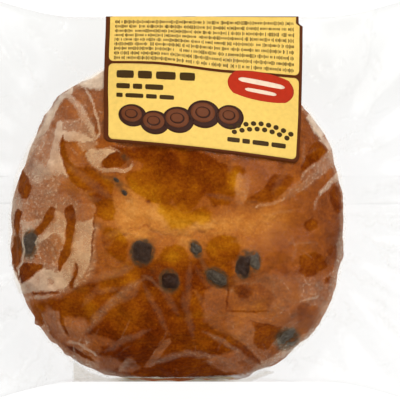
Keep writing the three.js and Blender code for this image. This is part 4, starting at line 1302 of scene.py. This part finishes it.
welded_film, tree = new_film("welded_film")
milk = spread(tree, noise(tree, 3.0), start=0.01, end=0.05)
body = hazy_film(tree, (0.965, 0.963, 0.957, 1.0), (0.82, 0.81, 0.80, 1.0), milk)
wrinkle = bump(tree, noise(tree, 0.9), 0.05)
shine = add_node(tree, "ShaderNodeFresnel", [("IOR", FILM_IOR), ("Normal", wrinkle)]).outputs["Fac"]
glossy_film(tree, body, arithmetic(tree, "MINIMUM", shine, MOST_SHINE), 0.2, wrinkle)

seal_columns = 13
seal_rows = int(2 * SEAL_HALF_WIDTH / CRIMP_PITCH * STATIONS_PER_CRIMP) + 1
for end, name in ((-1, "seal_left"), (1, "seal_right")):
    across = np.linspace(-SEAL_HALF_WIDTH, SEAL_HALF_WIDTH, seal_rows)[None, :]
    way = np.linspace(0.0, 1.0, seal_columns)[:, None]
    cut = PACK_LENGTH / 2 - ZIGZAG_DEPTH * zigzag(across / ZIGZAG_PITCH)
    inner_edge = PACK_LENGTH / 2 - SEAL_WIDTH
    seal_x = end * (inner_edge + (cut - inner_edge) * way)
    seal_y = across * half_width(seal_x) / SEAL_HALF_WIDTH
    crimped = smooth_step(way, 0.02, 0.12) * smooth_step(way, 1.0, 0.92)
    middle = seal_height(seal_x, seal_y) + CRIMP_HEIGHT * (zigzag(across / CRIMP_PITCH) - 0.5) * crimped
    top_side = np.stack([seal_x, seal_y + 0 * seal_x, middle + SEAL_BODY / 2], -1)[::end]
    low_side = np.stack([seal_x, seal_y + 0 * seal_x, middle - SEAL_BODY / 2], -1)[::end]
    points = np.concatenate([top_side.reshape(-1, 3), low_side.reshape(-1, 3)])
    seal = make_piece(name, points, slab_faces(seal_columns, seal_rows).tolist(), welded_film)
    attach(seal, "root")
    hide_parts("film_wrapped_muffin")


# ==== Back fin ===================================================================================
# The seam that makes the sheet a tube: its two edges welded face to face into a fin along the back,
# crimped across, and folded down flat against the back sheet.
FIN_WIDTH, FIN_MIDDLE, FIN_BODY = 9.0, 3.0, 0.12
FIN_BELOW, FIN_CRIMP, FIN_STRIPS = 0.14, 0.05, 7  # the fin's middle lies this far below the back sheet
fin_stations = int((PACK_LENGTH - 2 * SEAL_WIDTH) / CRIMP_PITCH * STATIONS_PER_CRIMP) + 1
fin_x = np.linspace(-1.0, 1.0, fin_stations)[:, None] * (PACK_LENGTH / 2 - SEAL_WIDTH + 1.0)
fin_y = FIN_MIDDLE + FIN_WIDTH * np.linspace(-0.5, 0.5, FIN_STRIPS)[None, :]
fin_x = fin_x + 0 * fin_y
fin_y = fin_y + 0 * fin_x
fin_z = np.maximum(sheet_at(lower_sheet, fin_x, fin_y) - BACK_REST + pleat(fin_x, fin_y), TABLE_CLEAR)
fin_z = fin_z + (edge_height(fin_x, fin_y) - BACK_BELOW - fin_z) * seal_hold(fin_x)
fin_z = fin_z - FIN_BELOW + FIN_CRIMP * (zigzag(fin_x / CRIMP_PITCH) - 0.5)
fin_half = FIN_BODY / 2 * (1.02 - np.abs(fin_y - FIN_MIDDLE) / (FIN_WIDTH / 2))
fin_top = np.stack([fin_x, fin_y, fin_z + fin_half], -1).reshape(-1, 3)
fin_low = np.stack([fin_x, fin_y, fin_z - fin_half], -1).reshape(-1, 3)
fin_faces = slab_faces(fin_stations, FIN_STRIPS).tolist()

fin_film, tree = new_film("fin_film")
see_through = add_node(tree, "ShaderNodeBsdfTransparent", [("Color", (0.996, 0.996, 0.995, 1.0))])
shine = product(tree, add_node(tree, "ShaderNodeFresnel", [("IOR", FILM_IOR)]).outputs["Fac"], 0.15)
glossy_film(tree, see_through.outputs[0], shine, 0.2, bump(tree, noise(tree, 0.9), 0.05))
fin = make_piece("back_fin", np.concatenate([fin_top, fin_low]), fin_faces, fin_film)
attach(fin, "root")
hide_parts("film_wrapped_muffin")


# ==== The label ==================================================================================
# A satin paper sticker, laid over the crown's shoulder and round the side fold to the back. Its dark
# brown stock shows as a border and a rule between two pale yellow panels.
LABEL_STAND_FOLD, LABEL_STAND_CROWN, LABEL_BODY = 0.15, 1.0, 0.12
FOLD_BEND = 0.8  # length of label that goes round the fold
STEP_DOWN, STEP_IN = 2.7, 1.4  # the right edge steps in this near the fold, where the sticker is cut narrower
LABEL_CORNER, CORNER_STEPS = 1.8, 7
LABEL_STEP = 0.6  # longest step of its grids
PRINT_BODY = 0.03
FIBRE = 0.06  # how much paler and deeper the paper's fibre makes a colour
LINING_SHARE, LINING_COLOUR = 0.99, (0.70, 0.66, 0.58)


def sheet_normal(sheet, x, y, side):
    """Unit normal of a drawn sheet, up or down by side, from differences of its height over a millimetre."""
    run_x = (sheet_at(sheet, x + 1.0, y) - sheet_at(sheet, x - 1.0, y)) / 2.0
    run_y = sheet_at(sheet, x, y - 0.5) - sheet_at(sheet, x, y - 1.5)
    normal = side * np.stack([-run_x, -run_y, np.ones_like(run_x)], -1)
    return normal / np.linalg.norm(normal, axis=-1, keepdims=True)


def on_label(across, down, lift):
    """Points over the label: so far across from its middle, and down its front from the fold, or up its
    back where negative, laid on the film's drawn sheets and lifted square to them."""
    stepped = smooth_step(across, LABEL_HALF_WIDTH - 4.0, LABEL_HALF_WIDTH)
    across = across - STEP_IN * stepped * smooth_step(down, STEP_DOWN + 0.2, STEP_DOWN - 0.2)
    front_down = np.maximum(down - FOLD_BEND / 2, 0.0) * front_length(across) / LABEL_FRONT_LENGTH
    back_down = np.maximum(-down - FOLD_BEND / 2, 0.0)
    away = front_down + back_down
    taper = 1.0 - LABEL_TAPER * front_down / LABEL_FRONT_LENGTH
    x = LABEL_MIDDLE + across * taper - (front_down - back_down) * LABEL_SKEW
    y = WAIST_HALF_WIDTH - away
    share = np.clip(down / FOLD_BEND + 0.5, 0.0, 1.0)[..., None]
    z = np.where(down > 0, sheet_at(upper_sheet, x, y), sheet_at(lower_sheet, x, y))
    upward, downward = sheet_normal(upper_sheet, x, y, 1.0), sheet_normal(lower_sheet, x, y, -1.0)
    normal = upward * share + downward * (1.0 - share)
    normal = normal / np.linalg.norm(normal, axis=-1, keepdims=True)
    stand = LABEL_STAND_FOLD + (LABEL_STAND_CROWN - LABEL_STAND_FOLD) * smooth_step(away, 1.0, 12.0)
    return np.stack([x, y, z], -1) + normal * (stand + lift)[..., None]


def sticker(across, down, low, high):
    """A closed slab on the label, between two lifts, from grids of places on it: points, then faces."""
    points = [on_label(across, down, lift).reshape(-1, 3) for lift in (high, low)]
    return np.concatenate(points), slab_faces(*across.shape)


def printed(name, shapes, layer, material):
    """Joins printed shapes into one piece in a layer over the stock. A shape is two grids of places on it."""
    low = LABEL_BODY + (layer - 1.5) * PRINT_BODY
    slabs = [sticker(across, down, low, low + 1.5 * PRINT_BODY) for across, down in shapes]
    starts = np.cumsum([0] + [len(points) for points, _ in slabs[:-1]])
    faces = np.concatenate([faces + start for (_, faces), start in zip(slabs, starts)])
    piece = make_piece(name, np.concatenate([points for points, _ in slabs]), faces.tolist(), material)
    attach(piece, "root")
    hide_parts("label")
    return piece


def paper(name, colour, roughness=0.42):
    """Satin printed paper of one ink: faint fibre in the colour, the gloss and the surface."""
    material, tree, surface = new_material(name)
    pale = tuple(min(1.0, (1.0 + FIBRE) * part) for part in colour)
    deep = tuple((1.0 - FIBRE) * part for part in colour)
    fibre = ramp(tree, noise(tree, 1.5, 4.0), [(0.3, deep), (0.7, pale)])
    tree.links.new(fibre, surface.inputs["Base Color"])
    rough = spread(tree, noise(tree, 6.0), start=roughness - 0.05, end=roughness + 0.08)
    tree.links.new(rough, surface.inputs["Roughness"])
    tree.links.new(bump(tree, noise(tree, 0.4), 0.02), surface.inputs["Normal"])
    surface.inputs["Specular IOR Level"].default_value = 0.06
    return material


def span(start, end, step=LABEL_STEP):
    """Even places from start to end, at most a step apart."""
    return np.linspace(start, end, max(2, int(math.ceil(abs(end - start) / step)) + 1))


brown_stock = paper("brown_stock", (0.085, 0.020, 0.004))
label_down = np.concatenate([span(LABEL_FRONT_LENGTH + FOLD_BEND / 2, FOLD_BEND / 2),
                             span(FOLD_BEND / 2, -FOLD_BEND / 2, 0.1)[1:-1],
                             span(-FOLD_BEND / 2, -LABEL_BACK_LENGTH - FOLD_BEND / 2)])
stock_side = LABEL_HALF_WIDTH - LABEL_CORNER * (1.0 - np.cos(np.linspace(0.0, np.pi / 2, CORNER_STEPS)))
stock_span = np.concatenate([-stock_side, span(-stock_side[-1], stock_side[-1])[1:-1], stock_side[::-1]])
stock_across, stock_down = np.meshgrid(stock_span, label_down, indexing="ij")
from_side = np.minimum(LABEL_HALF_WIDTH - np.abs(stock_across), LABEL_CORNER)
inset = LABEL_CORNER - np.sqrt(np.maximum(LABEL_CORNER**2 - (LABEL_CORNER - from_side) ** 2, 0.0))
stock_down = stock_down * np.where(stock_down > 0, 1.0 - inset / LABEL_FRONT_LENGTH, 1.0)
stock_points, stock_faces = sticker(stock_across, stock_down, 0.0, LABEL_BODY)
stock = make_piece("label_stock", stock_points, stock_faces.tolist(), brown_stock)
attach(stock, "root")
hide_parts("label")

# The paper's own back, which the clear film shows from beside and below.
lining_across, lining_down = stock_across * LINING_SHARE, stock_down * LINING_SHARE
lining_points, lining_faces = sticker(lining_across, lining_down, -PRINT_BODY, PRINT_BODY)
bare_paper = paper("label_lining", LINING_COLOUR, 0.6)
lining = make_piece("label_lining", lining_points, lining_faces.tolist(), bare_paper)
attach(lining, "root")
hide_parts("label")

# ---- Yellow panels ------------------------------------------------------------------------------
# The lower panel holds the motifs, and the upper one, which goes over the fold, rows of small marks.
BORDER_LEFT, BORDER_RIGHT, BORDER_END = 1.4, 1.0, 0.5
PANEL_CORNER = 1.4
RULE_DOWN, RULE_WIDTH, RULE_FALL = 17.35, 0.85, 1.7


def panel(left, right, top, bottom, corner=PANEL_CORNER):
    """A panel whose top and bottom are functions of the place across, with quarter-circle corners."""
    bend = np.linspace(0.0, np.pi / 2, CORNER_STEPS)
    ease = corner * (1.0 - np.cos(bend))
    across = np.concatenate([left + ease, span(left + corner, right - corner)[1:-1], right - ease[::-1]])
    from_end = np.minimum(np.minimum(across - left, right - across), corner)
    inset = corner - np.sqrt(np.maximum(corner**2 - (corner - from_end) ** 2, 0.0))
    first, final = bottom(across) - inset, top(across) + inset
    steps = int(math.ceil((first - final).max() / LABEL_STEP)) + 1
    share = np.linspace(0.0, 1.0, steps)[None, :]
    down = first[:, None] + (final - first)[:, None] * share
    return across[:, None] + 0 * down, down


def rule(across):
    """The middle of the rule between the panels: level, then down in an easy bend to the right, and level."""
    return RULE_DOWN + RULE_FALL * (smooth_step(across, -17.0, 9.0) - 0.5)


left_in, right_in = -LABEL_HALF_WIDTH + BORDER_LEFT, LABEL_HALF_WIDTH - BORDER_RIGHT
front_end, back_end = LABEL_FRONT_LENGTH - BORDER_END, -LABEL_BACK_LENGTH + BORDER_END
panels = [
    panel(left_in, right_in, lambda a: rule(a) + RULE_WIDTH / 2, lambda a: front_end + 0 * a),
    panel(left_in, right_in, lambda a: back_end + 0 * a, lambda a: rule(a) - RULE_WIDTH / 2),
]
yellow_ink = paper("yellow_ink", (0.765, 0.510, 0.120))
printed("label_panels", panels, 1, yellow_ink)

# ---- Rows of small marks ------------------------------------------------------------------------
# Where small print would be: short upright ticks in runs like words, drawn at random with a fixed seed.
ROW_PITCH, TICK_PITCH, TICK_HEIGHT = 1.68, 0.40, 1.2
GAP_CHANCE = 0.12
FOLD_FREE = 0.9  # no row lies this near the fold
draw = np.random.default_rng(71)


def tick_row(share, left, right):
    """One row of ticks, each a small upright bar, with gaps between the runs. It lies at a share of the
    rule's own distance from the fold, so that the rows nearest the rule bend with it."""
    places = np.arange(left, right, TICK_PITCH)
    words = np.cumsum(draw.uniform(size=len(places)) < GAP_CHANCE)
    gap = np.concatenate([[False], np.diff(words) > 0])
    shapes = []
    for place in places[~gap]:
        down = share * rule(place) if share > 0 else share * RULE_DOWN
        half = TICK_HEIGHT * draw.choice([0.6, 0.65, 1.0]) / 2
        sides = [place, place + draw.uniform(0.16, 0.28)]
        shapes.append(tuple(np.meshgrid(sides, [down + half, down - half], indexing="ij")))
    return shapes


ticks = []
for down in np.arange(RULE_DOWN - 1.6, -LABEL_BACK_LENGTH + 3.0, -ROW_PITCH):
    if abs(down) > FOLD_FREE:
        ticks += tick_row(down / RULE_DOWN, left_in + 1.6, right_in - 1.8)
dark_ink = paper("dark_ink", (0.050, 0.026, 0.006))
printed("label_ticks", ticks, 2, dark_ink)

# ---- Motifs -------------------------------------------------------------------------------------
# A plain red tab with cream bars, heavy brown bars, and overlapping round chocolate buttons with dots.


def blob(across, down, half_across, half_down, turn=0.0, roundness=1.0, steps=9):
    """A filled oval or rounded block: a square grid drawn in to x sqrt(1 - q y^2/2), y sqrt(1 - q x^2/2)."""
    first, second = np.meshgrid(np.linspace(-1, 1, steps), np.linspace(1, -1, steps), indexing="ij")
    wide = half_across * first * np.sqrt(1.0 - roundness * second**2 / 2)
    tall = half_down * second * np.sqrt(1.0 - roundness * first**2 / 2)
    angle = math.radians(turn)
    return (across + wide * math.cos(angle) - tall * math.sin(angle),
            down + wide * math.sin(angle) + tall * math.cos(angle))


red_ink = paper("red_ink", (0.420, 0.026, 0.008))
cream_ink = paper("cream_ink", (0.780, 0.600, 0.440))
printed("label_tab", [blob(18.0, 22.0, 10.5, 4.2, 6.0, 0.75, 25)], 2, red_ink)
tab_bars = [blob(18.2, 21.0, 7.4, 0.75, 6.0, 0.6, 13), blob(18.0, 23.6, 5.0, 0.55, 6.0, 0.6, 13)]
printed("label_tab_bars", tab_bars, 3, cream_ink)

title_bars = []
for down, tall, ends in ((20.4, 1.25, (-27.0, -21.6, -20.4, -16.0, -14.8, -8.6, -7.4, -2.6)),
                         (24.2, 0.85, (-27.0, -22.8, -21.9, -19.0, -18.1, -12.4)),
                         (27.2, 0.7, (-27.0, -25.0, -24.2, -18.6, -17.8, -14.4, -13.6, -9.0)),
                         (38.4, 0.7, (8.0, 12.0, 12.8, 15.2, 16.0, 21.2, 22.0, 26.6))):
    for start, end in zip(ends[::2], ends[1::2]):
        title_bars.append(blob((start + end) / 2, down, (end - start) / 2, tall, 0.0, 0.3, 13))
printed("label_title_bars", title_bars, 2, dark_ink)

# Each button: middle across and down, and half width. Each of its layers, from the lowest: its piece, how far
# it is shifted across and down, its half sizes as shares of the button's half width, the points of its grid,
# and its ink.
BUTTONS = ((-22.0, 33.6, 4.4), (-15.0, 35.4, 4.6), (-7.6, 34.0, 5.0), (0.4, 31.6, 5.2), (8.6, 31.8, 4.4))
deep_brown = paper("deep_brown_ink", (0.040, 0.014, 0.008))
light_brown = paper("light_brown_ink", (0.135, 0.040, 0.014))
button_layers = (
    ("label_button_rims", 0.0, 0.0, 1.0, 0.82, 13, deep_brown),
    ("label_button_faces", -0.3, -0.5, 0.74, 0.58, 11, light_brown),
    ("label_button_marks", -0.3, -0.5, 0.46, 0.34, 9, deep_brown),
    ("label_button_domes", -0.4, -0.6, 0.38, 0.27, 9, light_brown),
)
for layer, (name, right, lower, wide, tall, steps, ink) in enumerate(button_layers, 2):
    shapes = [blob(a + right, d + lower, wide * r, tall * r, 0.0, 1.0, steps) for a, d, r in BUTTONS]
    printed(name, shapes, layer, ink)

DOTS, DOTS_LEFT, DOTS_RUN, DOTS_DOWN, DOTS_RISE, DOTS_STAGGER = 17, 9.0, 19.0, 34.8, 1.96, 1.6
dots = []
for k in range(DOTS):
    place = k / (DOTS - 1)
    down = DOTS_DOWN - DOTS_RISE * math.sin(math.pi * place) + DOTS_STAGGER * (k % 2)
    dots.append(blob(DOTS_LEFT + DOTS_RUN * place, down, 0.85, 0.7, 0.0, 1.0, 5))
printed("label_dots", dots, 2, dark_ink)
